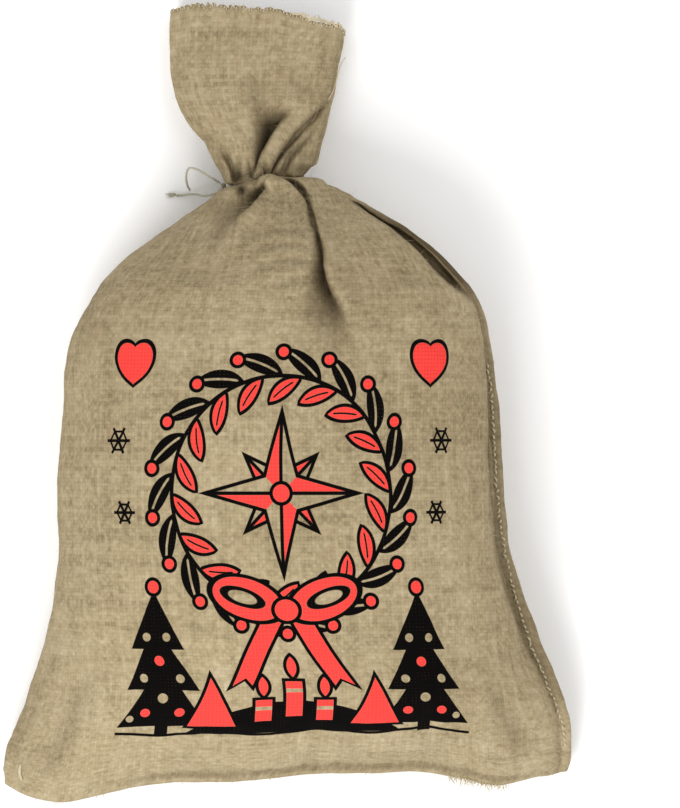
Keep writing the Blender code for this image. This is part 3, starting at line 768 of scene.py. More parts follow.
    @staticmethod
    def normals(points: np.ndarray) -> np.ndarray:
        """Find the outward unit normals.

        Args:
            points: the rings' points.

        Returns:
            The normal at each point.
        """
        along = np.gradient(points, axis=0)
        around = np.roll(points, -1, axis=1) - np.roll(points, 1, axis=1)
        normal = np.cross(around, along)
        size = np.linalg.norm(normal, axis=-1, keepdims=True)
        return normal / np.maximum(size, 1e-9)

    def inner_rings(self) -> list[np.ndarray]:
        """Draw the inside of the open mouth.

        Returns:
            Its rings, from the mouth's edge down towards the neck.
        """
        normal = self.normals(self.points)
        rings = []
        for k in range(self.inner_rows):
            ring, out = self.points[self.rows - k], normal[self.rows - k]
            inside = ring - out * self.cloth
            depth = k / (self.inner_rows - 1)
            inside = inside + (ring.mean(axis=0) - inside) * (0.02 + 0.12 * depth)
            rings.append(raised(inside, self.cloth))
        return rings

    def to_object(self) -> bpy.types.Object:
        """Join the rings into a closed mesh.

        Returns:
            The sack's object, in the part's own frame.
        """
        inner = self.inner_rings()
        rings = np.concatenate((self.points, np.array(inner)))
        weave = np.concatenate((self.weave, self.weave[::-1][:len(inner)]))
        high, count = rings.shape[:2]
        seam = self.front_columns + 2 * self.hem_columns + 1
        own, other = weave.copy(), np.roll(weave, -1, axis=1)
        own[:, seam, 0] = other[:, seam, 0] + 2.6 * MM
        corners = np.stack((own[:-1], other[:-1], other[1:], own[1:]), axis=2)
        verts = placed(rings.reshape(-1, 3))
        centre = placed(rings[-1].mean(axis=0))
        flat = weave.reshape(-1, 2)
        faces = ring_faces(high, count).reshape(-1, 4).tolist()
        uvs = [corners.reshape(-1, 2)]
        last = (high - 1) * count
        extra = [(last + i, last + (i + 1) % count, high * count) for i in range(count)]
        extra += self.bottom_faces(count)
        flat = np.vstack((flat, flat[last:].mean(axis=0)))
        uvs += [flat[list(face)] for face in extra]
        mesh = bpy.data.meshes.new("sack_cloth")
        mesh.from_pydata(np.vstack((verts, centre)).tolist(), [], faces + extra)
        layer = mesh.uv_layers.new(name="weave")
        layer.data.foreach_set("uv", np.concatenate(uvs).ravel())
        shade = np.concatenate((self.shade, self.shade[::-1][:len(inner)])).ravel()
        layer = mesh.attributes.new("shade", "FLOAT", "POINT")
        layer.data.foreach_set("value", np.append(shade, 0.0))
        obj = link(mesh)
        face_outwards(mesh)
        mesh.shade_smooth()
        return obj

    def bottom_faces(self, count: int) -> list[tuple[int, ...]]:
        """Close the bottom's raw edge, between the front and the back.

        Args:
            count: how many points a ring has.

        Returns:
            The corners of each face.
        """
        top = list(range(self.front_columns + self.hem_columns + 1))
        low = [i % count for i in range(count, self.front_columns + self.hem_columns, -1)]
        faces = []
        i = j = 0
        while i < len(top) - 1 or j < len(low) - 1:
            if j >= len(low) - 1 or (i < len(top) - 1 and i / len(top) <= j / len(low)):
                face = (top[i + 1], top[i], low[j])
                i += 1
            else:
                face = (top[i], low[j], low[j + 1])
                j += 1
            if len(set(face)) == 3:
                faces.append(face)
        return faces


@dataclass(frozen=True)
class Settling:
    """A short cloth simulation on a coarse copy of the sack, for its small sags and puckers.

    Attributes:
        step: which rows and columns of the grid the copy keeps.
        frames: how long the simulation runs.
        furthest: how far a point may move, in mm.
    """

    step: int = 4
    frames: int = 26
    furthest: float = 2.4

    def moves(self, cloth: SackCloth) -> np.ndarray:
        """Run the simulation.

        Args:
            cloth: the sack, with its points in place.

        Returns:
            The move of each of its points, in mm.
        """
        rows, columns = (np.arange(0, n, self.step) for n in cloth.points.shape[:2])
        coarse, held = cloth.points[np.ix_(rows, columns)], self.held(cloth)
        obj = self.copy(coarse, held[np.ix_(rows, columns)])
        self.set_up(obj)
        scene = bpy.context.scene
        for frame_number in range(1, self.frames + 1):
            scene.frame_set(frame_number)
        result = obj.evaluated_get(bpy.context.evaluated_depsgraph_get()).data
        flat = np.empty(coarse.size)
        result.vertices.foreach_get("co", flat)
        scene.frame_set(1)
        mesh = obj.data
        bpy.data.objects.remove(obj)
        bpy.data.meshes.remove(mesh)
        move = flat.reshape(coarse.shape) / MM - coarse
        size = np.linalg.norm(move, axis=-1, keepdims=True)
        LOG.info("settling: moved %.2f mm on the whole, %.1f mm at most",
                 float(size.mean()), float(size.max()))
        move = move * self.furthest / (self.furthest + size)
        return self.refined(move, rows, columns, cloth.points.shape) * (1.0 - held[..., None])

    @staticmethod
    def held(cloth: SackCloth) -> np.ndarray:
        """Choose what is held: the seams, the tie, the folds and the resting side.

        Args:
            cloth: the sack, with its points in place.

        Returns:
            How firmly each point is held, from 0 to 1.
        """
        z, y = cloth.points[..., 2], cloth.points[..., 1]
        column = np.arange(cloth.points.shape[1])
        hem = np.abs(column - cloth.front_columns - cloth.hem_columns - 1.0)
        held = bump(y, 150.0, 26.0) + unit(1.0 - (hem - 3.0) / 5.0)[None, :]
        held = held + unit(1.0 - (cloth.weave[..., 1] / MM - 4.0) / 8.0) + unit(1.5 - z / 3.0)
        held = held + 2.5 * cloth.shade + 0.6 * unit((y - 180.0) / 20.0)
        return unit(held)

    @staticmethod
    def copy(points: np.ndarray, held: np.ndarray) -> bpy.types.Object:
        """Make a mesh of the coarse grid, with a vertex group for what is held.

        Args:
            points: the grid's points, in mm.
            held: how firmly each is held, from 0 to 1.

        Returns:
            The copy's object.
        """
        faces = ring_faces(*points.shape[:2]).reshape(-1, 4)
        mesh = bpy.data.meshes.new("settling")
        mesh.from_pydata((points.reshape(-1, 3) * MM).tolist(), [], faces.tolist())
        obj = link(mesh)
        group = obj.vertex_groups.new(name="held")
        for index, weight in enumerate(held.ravel()):
            group.add([index], float(max(weight, 0.02)), "REPLACE")
        return obj

    @staticmethod
    def set_up(obj: bpy.types.Object) -> None:
        """Give the copy the cloth's behaviour: coarse jute, a little slack, a soft filling.

        Args:
            obj: the copy.
        """
        cloth = obj.modifiers.new("cloth", "CLOTH")
        settings = cloth.settings
        settings.quality = 6
        settings.mass = 0.25
        settings.tension_stiffness = settings.compression_stiffness = 18.0
        settings.shear_stiffness = 6.0
        settings.bending_stiffness = 0.8
        settings.shrink_min = -0.015
        settings.use_pressure = True
        settings.uniform_pressure_force = 1.2
        settings.effector_weights.gravity = 0.08
        settings.vertex_group_mass = "held"
        settings.pin_stiffness = 1.0
        cloth.collision_settings.use_collision = False
        cloth.collision_settings.use_self_collision = False

    @staticmethod
    def refined(move: np.ndarray, rows: np.ndarray, columns: np.ndarray,
                shape: tuple[int, ...]) -> np.ndarray:
        """Carry the moves over from the coarse grid to the fine one, smoothly.

        Args:
            move: the coarse points' moves.
            rows: which rows they are in the fine grid.
            columns: which columns they are.
            shape: the fine grid's shape.

        Returns:
            The move of each fine point.
        """
        high, count = shape[:2]
        tall = np.array([[np.interp(np.arange(high), rows, move[:, c, k]) for k in range(3)]
                         for c in range(len(columns))])
        around = np.arange(count)
        fine = np.array([[np.interp(around, columns, tall[:, k, r], period=count)
                          for k in range(3)] for r in range(high)]).transpose(0, 2, 1)
        for _ in range(6):
            fine = 0.5 * fine + 0.25 * (np.roll(fine, 1, axis=1) + np.roll(fine, -1, axis=1))
            padded = np.concatenate((fine[:1], fine, fine[-1:]))
            fine = 0.5 * fine + 0.25 * (padded[:-2] + padded[2:])
        return fine


def link(mesh: bpy.types.Mesh) -> bpy.types.Object:
    """Put a mesh into the scene.

    Args:
        mesh: the mesh.

    Returns:
        Its object, of the same name.
    """
    obj = bpy.data.objects.new(mesh.name, mesh)
    bpy.context.scene.collection.objects.link(obj)
    return obj


def face_outwards(mesh: bpy.types.Mesh) -> None:
    """Turn a closed mesh's faces outwards.

    Args:
        mesh: the mesh.
    """
    work = bmesh.new()
    work.from_mesh(mesh)
    bmesh.ops.recalc_face_normals(work, faces=work.faces)
    work.to_mesh(mesh)
    work.free()
    mesh.update()


Number = Union[float, "Field"]
Colour = Sequence[float]
Stops = Sequence[tuple[float, Colour]]

# Half the width over which an ink fades out at its edge, in mm.
INK_BLEED = 0.22


def operator(kind: str, swapped: bool = False) -> Callable[["Field", Number], "Field"]:
    """Make one of a field's operators.

    Args:
        kind: the Math node's operation.
        swapped: whether the field is the second of the two numbers.

    Returns:
        The operator's method.
    """
    def apply(own: "Field", other: Number) -> "Field":
        """Work out the operation."""
        return own.graph.math(kind, *((other, own) if swapped else (own, other)))
    return apply


@dataclass(frozen=True)
class Field:
    """A number that a finish works out at each point of a surface.

    Attributes:
        graph: the finish's nodes.
        socket: where the number comes from.
    """

    graph: "Graph"
    socket: bpy.types.NodeSocket

    __add__ = operator("ADD")
    __sub__ = operator("SUBTRACT")
    __rsub__ = operator("SUBTRACT", True)
    __mul__ = operator("MULTIPLY")
    __truediv__ = operator("DIVIDE")
    __radd__ = __add__
    __rmul__ = __mul__

    def __abs__(self) -> "Field":
        """Its size without its sign."""
        return self.graph.math("ABSOLUTE", self)


class Graph:
    """The nodes of one finish, written as sums."""

    def __init__(self, name: str) -> None:
        """Start an empty material.

        Args:
            name: the material's name.
        """
        self.material = bpy.data.materials.new(name)
        self.material.use_nodes = True
        self.tree = self.material.node_tree
        self.shader = self.tree.nodes["Principled BSDF"]

    def node(self, kind: str, **settings: Union[str, bool]) -> bpy.types.Node:
        """Add a node and set its options.

        Args:
            kind: the node's type.
            settings: its options, by name.

        Returns:
            The node.
        """
        node = self.tree.nodes.new(kind)
        for key, value in settings.items():
            setattr(node, key, value)
        return node

    def feed(self, socket: bpy.types.NodeSocket, value: Number) -> None:
        """Give a socket a number or another node's result.

        Args:
            socket: the socket.
            value: what it gets.
        """
        if isinstance(value, Field):
            self.tree.links.new(value.socket, socket)
        else:
            socket.default_value = value

    def result(self, node: bpy.types.Node, *values: Union[Number, None]) -> Field:
        """Feed a node's sockets in order and take its first result.

        Args:
            node: the node.
            values: what each socket gets, with None for a socket that stays as it is.

        Returns:
            The node's first result.
        """
        for socket, value in zip(node.inputs, values):
            if value is not None:
                self.feed(socket, value)
        return Field(self, node.outputs[0])

    def math(self, operation: str, *values: Number) -> Field:
        """One sum of a Math node."""
        return self.result(self.node("ShaderNodeMath", operation=operation), *values)

    def least(self, first: Number, *others: Number) -> Field:
        """The smallest of some numbers."""
        return reduce(partial(self.math, "MINIMUM"), others, first)

    def most(self, first: Number, *others: Number) -> Field:
        """The greatest of some numbers."""
        return reduce(partial(self.math, "MAXIMUM"), others, first)

    def length(self, x: Number, y: Number) -> Field:
        """Distance of a point from the origin."""
        return self.math("SQRT", self.math("MULTIPLY_ADD", x, x, y * y))

    def ramp(self, value: Field, low: float, high: float, start: float = 0.0,
             end: float = 1.0) -> Field:
        """Follow a value softly from one limit to another.

        Args:
            value: the value.
            low: where the result starts.
            high: where the result ends.
            start: the result at low.
            end: the result at high.

        Returns:
            The result, which stays at its ends outside the limits.
        """
        node = self.node("ShaderNodeMapRange", interpolation_type="SMOOTHSTEP")
        return self.result(node, value, low, high, start, end)

    def inside(self, distance: Field) -> Field:
        """1 inside a shape and 0 outside it, from the distance to its edge in mm."""
        return self.ramp(distance, -INK_BLEED, INK_BLEED, 1.0, 0.0)

    def blend(self, a: Number, b: Number, share: Number) -> Field:
        """Go from one number to another by a share."""
        return self.result(self.node("ShaderNodeMix", data_type="FLOAT"), share, None, a, b)

    def point(self, x: Number, y: Number, z: Number = 0.0) -> Field:
        """Put three numbers together as a place."""
        return self.result(self.node("ShaderNodeCombineXYZ"), x, y, z)

    def noise(self, place: Field, scale: float = 1.0, detail: float = 2.0) -> Field:
        """Add smooth noise.

        Args:
            place: where it is read.
            scale: how fine it is.
            detail: how many finer layers it has.

        Returns:
            The noise, about -1 to 1.
        """
        node = self.node("ShaderNodeTexNoise")
        self.feed(node.inputs["Vector"], place)
        node.inputs["Scale"].default_value = scale
        node.inputs["Detail"].default_value = detail
        return (Field(self, node.outputs[0]) - 0.5) * 3.0

    def chance(self, x: Number, y: Number = 0.0) -> Field:
        """Draw a random number.

        Args:
            x: a whole number.
            y: another one.

        Returns:
            The random number that belongs to the two, from -1 to 1.
        """
        node = self.node("ShaderNodeTexWhiteNoise", noise_dimensions="2D")
        self.feed(node.inputs["Vector"], self.point(x, y))
        return Field(self, node.outputs["Value"]) * 2.0 - 1.0

    def weave_place(self) -> tuple[Field, Field]:
        """Read the place in the cloth.

        Returns:
            Mm across and along.
        """
        node = self.node("ShaderNodeUVMap", uv_map="weave")
        split = self.node("ShaderNodeSeparateXYZ")
        self.tree.links.new(node.outputs[0], split.inputs[0])
        return Field(self, split.outputs[0]) * 1000.0, Field(self, split.outputs[1]) * 1000.0

    def attribute(self, name: str) -> Field:
        """A number that the mesh carries at its points."""
        return Field(self, self.node("ShaderNodeAttribute", attribute_name=name).outputs["Fac"])

    def object_place(self) -> Field:
        """The place on the object, in metres."""
        return Field(self, self.node("ShaderNodeTexCoord").outputs["Object"])

    def colours(self, share: Field, stops: Stops) -> bpy.types.NodeSocket:
        """Pick a colour from a row of colours.

        Args:
            share: where to pick it, from 0 to 1.
            stops: places in the row, each with its colour.

        Returns:
            The colour's socket.
        """
        node = self.node("ShaderNodeValToRGB")
        self.feed(node.inputs[0], share)
        band = node.color_ramp
        band.elements[0].position, band.elements[1].position = stops[0][0], stops[-1][0]
        for place, _ in stops[1:-1]:
            band.elements.new(place)
        for element, (_, colour) in zip(band.elements, stops):
            element.color = (*colour, 1.0)
        return node.outputs[0]

    def dye(self, under: bpy.types.NodeSocket, over: Union[bpy.types.NodeSocket, Colour],
            share: Field) -> bpy.types.NodeSocket:
        """Lay one colour over another.

        Args:
            under: the lower colour.
            over: the upper one.
            share: how much of the upper one shows.

        Returns:
            The colour's socket.
        """
        node = self.node("ShaderNodeMix", data_type="RGBA")
        self.feed(node.inputs[0], share)
        self.tree.links.new(under, node.inputs[6])
        if isinstance(over, bpy.types.NodeSocket):
            self.tree.links.new(over, node.inputs[7])
        else:
            node.inputs[7].default_value = (*over, 1.0)
        return node.outputs[2]

    def finish(self, colour: bpy.types.NodeSocket, height: Field, depth: float, roughness: float,
               sheen: float = 0.0, gloss: float = 0.25) -> bpy.types.Material:
        """Wire up the shader.

        Args:
            colour: the surface's colour.
            height: the relief, from 0 to 1.
            depth: how deep the relief is, in metres.
            roughness: the shader's roughness.
            sheen: the shader's sheen.
            gloss: the shader's specular level.

        Returns:
            The finished material.
        """
        relief = self.node("ShaderNodeBump")
        relief.inputs["Distance"].default_value = depth
        relief.inputs["Strength"].default_value = 1.0
        self.feed(relief.inputs["Height"], height)
        self.tree.links.new(relief.outputs[0], self.shader.inputs["Normal"])
        self.tree.links.new(colour, self.shader.inputs["Base Color"])
        self.shader.inputs["Roughness"].default_value = roughness
        self.shader.inputs["Specular IOR Level"].default_value = gloss
        self.shader.inputs["Sheen Weight"].default_value = sheen
        return self.material


class Ink(Enum):
    """What is laid on the cloth: the shares of red and of black."""

    BARE = (0.0, 0.0)
    RED = (1.0, 0.0)
    BLACK = (0.0, 1.0)


Layer = tuple[Field, Ink]


@dataclass(frozen=True)
class PrintDesign:
    """A made-up ornament in two inks: a leaf wreath with a bow round a star, over firs.

    Attributes:
        centre: middle of the printed area in the cloth, in mm across and along.
        ring: radius of the wreath.
        lift: how far the wreath's middle is above that of the printed area.
        half_line: half the width of the drawn lines.
        stretch: how much taller it is printed than drawn.
    """

    centre: tuple[float, float] = (6.0, 202.0)
    ring: float = 72.0
    lift: float = 34.0
    half_line: float = 1.15
    stretch: float = 1.06

    def inks(self, g: Graph, u: Field, v: Field) -> tuple[Field, Field]:
        """Where the two inks lie.

        Args:
            g: the finish's nodes.
            u: place across the cloth, in mm.
            v: place along the cloth, in mm.

        Returns:
            The shares of the red and of the black ink, from 0 to 1.
        """
        x, y = u - self.centre[0], (v - self.centre[1]) / self.stretch
        red, black = x * 0.0, x * 0.0
        layers = [*self.wreath(g, x, y), *self.star(g, x, y), *self.firs(g, x, y),
                  *self.bow(g, x, y), *self.corners(g, x, y)]
        for shape, ink in layers:
            cover = g.inside(shape)
            red, black = g.blend(red, ink.value[0], cover), g.blend(black, ink.value[1], cover)
        return red, black

    def outlined(self, shape: Field, fill: Ink) -> list[Layer]:
        """A filled shape with a black line round it."""
        return [(shape - self.half_line, Ink.BLACK), (shape + self.half_line, fill)]

    @staticmethod
    def turned(x: Number, y: Number, degrees: float) -> tuple[Field, Field]:
        """A place seen from axes that are turned."""
        c, s = math.cos(math.radians(degrees)), math.sin(math.radians(degrees))
        return x * c + y * s, y * c - x * s

    @staticmethod
    def sector(g: Graph, x: Field, y: Field, count: int, shift: float = 0.0) -> tuple[Field, Field]:
        """Fold the plane into equal sectors.

        Args:
            g: the finish's nodes.
            x: place across, from the middle.
            y: place along, from the middle.
            count: how many sectors there are.
            shift: turn of the sectors, in sectors.

        Returns:
            The angle from the sector's middle line in radians, and the radius.
        """
        turn = g.math("ARCTAN2", y, x) * (count / math.tau) + shift
        return (turn - g.math("ROUND", turn)) * (math.tau / count), g.length(x, y)

    @staticmethod
    def leaf(g: Graph, x: Field, y: Field, half: float, wide: float) -> Field:
        """Distance to a pointed leaf's edge, from its half length and half width."""
        radius = (half * half + wide * wide) / (2.0 * wide)
        return g.length(x, abs(y) + (radius - wide)) - radius

    @staticmethod
    def oval(g: Graph, x: Field, y: Field, half: float, wide: float) -> Field:
        """Rough distance to an oval's edge."""
        return (g.length(x / half, y / wide) - 1.0) * min(half, wide)

    def wreath(self, g: Graph, x: Field, y: Field) -> list[Layer]:
        """Draw the ring of leaves and berries.

        Args:
            g: the finish's nodes.
            x: place across, from the middle, in mm.
            y: place along.

        Returns:
            The shapes with their inks, from the lowest up.
        """
        up = y - self.lift
        angle, radius = self.sector(g, x, up, 18)
        other, _ = self.sector(g, x, up, 18, 0.5)
        ly = radius - self.ring
        px, py = self.turned(angle * self.ring, ly - 8.5, 34.0)
        outer = self.leaf(g, px, py, 15.5, 5.8)
        qx, qy = self.turned(other * self.ring, ly + 8.5, -34.0)
        inner = self.leaf(g, qx, qy, 14.5, 5.2)
        berry = g.length(other * (self.ring + 14.0), ly - 15.0) - 4.3
        return [(abs(ly) - 1.3, Ink.BLACK), *self.outlined(inner, Ink.RED),
                (g.most(inner + 3.0, abs(qy) - 0.6), Ink.BLACK), (outer, Ink.BLACK),
                (g.most(outer + 2.6, abs(py) - 0.7), Ink.BARE), *self.outlined(berry, Ink.RED)]

    def star(self, g: Graph, x: Field, y: Field) -> list[Layer]:
        """Draw the eight-pointed star: four long points over four short ones.

        Args:
            g: the finish's nodes.
            x: place across, from the middle, in mm.
            y: place along.

        Returns:
            The shapes with their inks, from the lowest up.
        """
        up = y - self.lift
        layers: list[Layer] = []
        for shift, tip, notch in ((0.5, 33.0, 13.0), (0.0, 50.0, 15.0)):
            angle, radius = self.sector(g, x, up, 4, shift)
            along, aside = radius * g.math("COSINE", angle), radius * g.math("SINE", angle)
            corner = notch * math.sqrt(0.5)
            size = math.hypot(tip - corner, corner)
            edge = (along - tip) * (corner / size) + abs(aside) * ((tip - corner) / size)
            layers += [(edge - self.half_line, Ink.BLACK),
                       (g.most(edge + self.half_line, self.half_line - aside), Ink.RED),
                       (g.most(edge + self.half_line, self.half_line + aside), Ink.BARE)]
        return layers + self.outlined(g.length(x, up) - 6.5, Ink.RED)

    def bow(self, g: Graph, x: Field, y: Field) -> list[Layer]:
        """Draw the bow at the wreath's foot, with its two tails.

        Args:
            g: the finish's nodes.
            x: place across, from the middle, in mm.
            y: place along.

        Returns:
            The shapes with their inks, from the lowest up.
        """
        side, up = abs(x), y - (self.lift - self.ring)
        off = abs(side + up * 0.55 - 6.0)
        tail = g.most(off * 0.876 - 6.8, up * -1.0 - 46.0 - off * 0.8, up)
        px, py = self.turned(side - 25.0, up - 7.0, 18.0)
        qx, qy = self.turned(side - 28.0, up - 8.0, 18.0)
        return [*self.outlined(tail, Ink.RED),
                *self.outlined(self.oval(g, px, py, 25.0, 13.5), Ink.RED),
                *self.outlined(self.oval(g, qx, qy, 12.5, 4.8), Ink.BARE),
                *self.outlined(self.oval(g, side, up, 8.8, 7.8), Ink.RED)]

    def firs(self, g: Graph, x: Field, y: Field) -> list[Layer]:
        """Draw two black firs, and a black hill between them with small red firs and candles.

        Args:
            g: the finish's nodes.
            x: place across, from the middle, in mm.
            y: place along.

        Returns:
            The shapes with their inks, from the lowest up.
        """
        side = abs(x)
        tall, small = abs(side - 88.0), abs(side - 54.0)
        branches = [self.wedge(g, tall, y, top, base, wide) for top, base, wide in (
            (-26.0, -64.0, 19.0), (-46.0, -92.0, 26.0), (-70.0, -121.0, 32.0))]
        fir = g.least(*branches, g.most(tall - 4.6, abs(y + 124.0) - 6.0))
        young = self.wedge(g, small, y, -80.0, -122.0, 18.0)
        hill = g.most(g.length(x, y + 205.0) - 105.0, y * -1.0 - 128.5)
        ground = g.most(abs(y + 128.5 - g.math("SINE", x / 11.0) * 1.6) - 1.4, side - 121.0)
        layers: list[Layer] = [(fir, Ink.BLACK), (hill, Ink.BLACK)]
        for off, high, size, ink in ((7.0, -56.0, 2.8, Ink.BARE), (0.0, -72.0, 3.4, Ink.RED),
                                     (13.0, -84.0, 3.0, Ink.BARE), (0.0, -98.0, 3.6, Ink.BARE),
                                     (12.0, -109.0, 3.4, Ink.RED), (23.0, -114.0, 2.8, Ink.BARE)):
            layers.append((g.length(tall - off, y - high) - size, ink))
        layers += self.outlined(g.length(tall, y + 24.0) - 5.0, Ink.RED)
        for off, high, low in ((0.0, -84.0, -114.0), (20.0, -98.0, -118.0)):
            layers += self.outlined(self.leaf(g, y - high - 9.0, side - off, 8.5, 4.2), Ink.RED)
            layers += self.outlined(g.most(abs(side - off) - 6.5, y - high, low - y), Ink.RED)
            layers.append((g.most(abs(side - off) - 5.35, abs(y - high + 8.0) - 1.5), Ink.BARE))
        return layers + [*self.outlined(young, Ink.RED), (ground, Ink.BLACK)]

    @staticmethod
    def wedge(g: Graph, side: Field, y: Field, top: float, base: float, wide: float) -> Field:
        """Measure a triangle that stands on its base.

        Args:
            g: the finish's nodes.
            side: place beside its middle line.
            y: place along.
            top: its tip's place.
            base: its base's place.
            wide: half its width.

        Returns:
            The distance to its edge, below 0 inside.
        """
        high = top - base
        size = math.hypot(high, wide)
        return g.most(side * (high / size) + (y - top) * (wide / size), base - y)

    def corners(self, g: Graph, x: Field, y: Field) -> list[Layer]:
        """Draw a heart in each upper corner, and flakes below them.

        Args:
            g: the finish's nodes.
            x: place across, from the middle, in mm.
            y: place along.

        Returns:
            The shapes with their inks, from the lowest up.
        """
        side = abs(x)
        px, py = (side - 101.0) / 13.0, (y - 112.0) / 13.0
        lobe = g.math("POWER", g.most(abs(px), 0.0001), 0.6667) * py
        heart = (px * px + py * py - lobe - 1.0) * 6.0
        layers = self.outlined(heart, Ink.RED)
        for across, high, reach in ((111.0, 66.0, 9.0), (106.0, 22.0, 8.0)):
            angle, radius = self.sector(g, side - across, y - high, 6)
            along, aside = radius * g.math("COSINE", angle), abs(radius * g.math("SINE", angle))
            layers.append((g.most(aside - 0.95, along - reach), Ink.BLACK))
            twig = g.most(abs(along + aside * 0.6 - 0.72 * reach) - 0.8, aside - 0.34 * reach)
            layers.append((twig, Ink.BLACK))
        return layers


@dataclass(frozen=True)
class Burlap:
    """Plain-woven jute: thick and thin threads, slubs, gaps, and the print on its front.

    Attributes:
        thread: distance between threads, in mm.
        relief: height of the weave, in metres.
        jute: colours from the gaps to the lit threads.
        stain: colour of the browner patches.
        shade_colour: colour of the painted shade in folds and along the seams.
        red: colours of the red ink, from the gaps to the lit threads.
        black: colour of the black ink.
        design: the print.
    """

    thread: float = THREAD
    relief: float = 0.00025
    jute: Stops = ((0.0, (0.040, 0.028, 0.014)), (0.24, (0.122, 0.094, 0.049)),
                   (0.50, (0.312, 0.248, 0.145)), (0.72, (0.448, 0.372, 0.241)),
                   (1.0, (0.578, 0.507, 0.368)))
    stain: Colour = (0.30, 0.205, 0.125)
    shade_colour: Colour = (0.085, 0.062, 0.034)
    red: Stops = ((0.0, (0.26, 0.012, 0.010)), (0.35, (0.54, 0.028, 0.023)),
                  (0.8, (0.74, 0.043, 0.036)), (1.0, (0.80, 0.056, 0.047)))
    black: Colour = (0.0022, 0.0016, 0.0015)
    design: PrintDesign = PrintDesign()

    def material(self) -> bpy.types.Material:
        """Make the cloth's material.

        Returns:
            The material.
        """
        g = Graph("burlap_cloth")
        u, v = g.weave_place()
        a = (u + g.noise(g.point(u / 11.0, v / 30.0, 1.3)) * 0.5) / self.thread
        b = (v + g.noise(g.point(u / 30.0, v / 11.0, 5.1)) * 0.5) / self.thread
        row, col = g.math("FLOOR", b), g.math("FLOOR", a)
        warp, warp_luck = self.strand(g, a, b, col, v, 3.7)
        weft, weft_luck = self.strand(g, b, a + 1.0, row, u, 8.2)
        height = g.most(warp, weft)
        over = g.math("GREATER_THAN", warp, weft)
        luck = g.blend(weft_luck, warp_luck, over)
        fibre = g.blend(g.noise(g.point(u * 0.22, v * 1.6, 2.0)),
                        g.noise(g.point(u * 1.6, v * 0.22, 4.0)), over)
        cloud = g.noise(g.point(u / 26.0, v / 9.0, 0.0)) * 0.5
        cloud = cloud + g.noise(g.point(u / 9.0, v / 34.0, 7.0)) * 0.45
        cloud = cloud + g.noise(g.point(u / 80.0, v / 80.0, 3.0)) * 0.5
        lit = g.ramp(height, -1.0, 0.6)
        knot = g.chance(col + row * 0.37, row + 0.5)
        speck = g.noise(g.point(u / 4.4, v / 4.4, 9.0), 1.0, 3.0)
        share = lit * 0.14 + luck * 0.035 + knot * 0.03 + fibre * 0.05 + speck * 0.13 + cloud * 0.14
        # Lighter towards the bottom seam.
        share = share + g.ramp(v, 10.0, 150.0, 0.425, 0.37)
        patch = g.ramp(g.noise(g.point(u / 15.0, v / 22.0, 11.0)), 0.1, 1.0, 0.0, 0.35)
        jute = g.dye(g.colours(share, self.jute), self.stain, patch)
        # Painted shade: the folds, the seam allowance and the bottom seam are darkened.
        jute = g.dye(jute, self.shade_colour, self.painted_shade(g, u, v))
        red, black = self.design.inks(g, u, v)
        grip = g.ramp(height + fibre * 0.15, -0.95, -0.45, 0.7, 1.0)
        inked = g.colours(lit + fibre * 0.06 + speck * 0.05, self.red)
        colour = g.dye(g.dye(jute, inked, red * grip), self.black, black * grip)
        return g.finish(colour, lit + fibre * 0.05, self.relief, roughness=0.9, gloss=0.04)

    @staticmethod
    def painted_shade(g: Graph, u: Field, v: Field) -> Field:
        """Paint shade into the cloth: in its folds, on the seam allowance and along the bottom
        seam.

        Args:
            g: the finish's nodes.
            u: place across the cloth, in mm.
            v: place along it.

        Returns:
            How dark it is, from 0 to 1.
        """
        # A scalloped band of painted shade along the bottom seam.
        wobble = g.noise(g.point(u / 16.0, 0.0, 6.0)) * 1.3
        wobble = wobble + abs(g.math("SINE", u * (math.pi / 4.6))) * 1.2
        seam = g.ramp(v - wobble, 5.2, 8.2, 1.0, 0.0) * g.ramp(u, -130.0, -60.0, 0.05, 1.0)
        seam = seam * g.ramp(u, 150.0, 176.0, 1.0, 0.3)
        seam = seam * g.ramp(v - wobble * 0.5, 1.5, 3.6, 0.35, 1.0)
        seam = seam * (g.noise(g.point(u / 5.0, v / 3.0, 12.0)) * 0.3 + 0.8)
        return g.least(g.most(g.attribute("shade") * 0.62, seam * 0.50), 1.0)

    @staticmethod
    def strand(g: Graph, at: Field, along: Field, number: Field, run: Field,
               seed: float) -> tuple[Field, Field]:
        """One set of threads.

        Args:
            g: the finish's nodes.
            at: place across the threads, in threads.
            along: place along them, in threads.
            number: which thread it is.
            run: place along them, in mm.
            seed: sets its randomness apart from the other set's.

        Returns:
            Its height, -1 where it has a gap, and its own luck from -1 to 1.
        """
        luck = g.chance(number, seed)
        slub = g.noise(g.point(number * 3.17, run / 17.0, seed))
        half = g.most(g.least(luck * 0.04 + slub * 0.11 + 0.46, 0.5), 0.40)
        off = abs(at - number - 0.5)
        round_top = g.math("SQRT", g.most(1.0 - (off / half) * (off / half), 0.0))
        wave = g.math("COSINE", (along - 0.5 + number) * math.pi)
        shown = g.math("LESS_THAN", off, half)
        return g.blend(-1.0, round_top * 0.62 + wave * 0.38 - 0.25, shown), luck


@dataclass(frozen=True)
class Yarn:
    """Loose jute fibres, spun or frayed.

    Attributes:
        name: the material's name.
        dark: colour between the fibres.
        pale: colour of the lit fibres.
        relief: depth between fibres, in metres.
    """

    name: str
    dark: Colour
    pale: Colour
    relief: float = 0.00012

    def material(self) -> bpy.types.Material:
        """Make the yarn's material.

        Returns:
            The material.
        """
        g = Graph(self.name)
        place = g.object_place()
        fine = g.noise(place, 1500.0, 3.0)
        patch = g.noise(place, 160.0, 2.0)
        share = fine * 0.20 + patch * 0.22 + 0.55
        colour = g.colours(share, ((0.0, self.dark), (1.0, self.pale)))
        return g.finish(colour, share, self.relief, roughness=0.9, sheen=0.1)


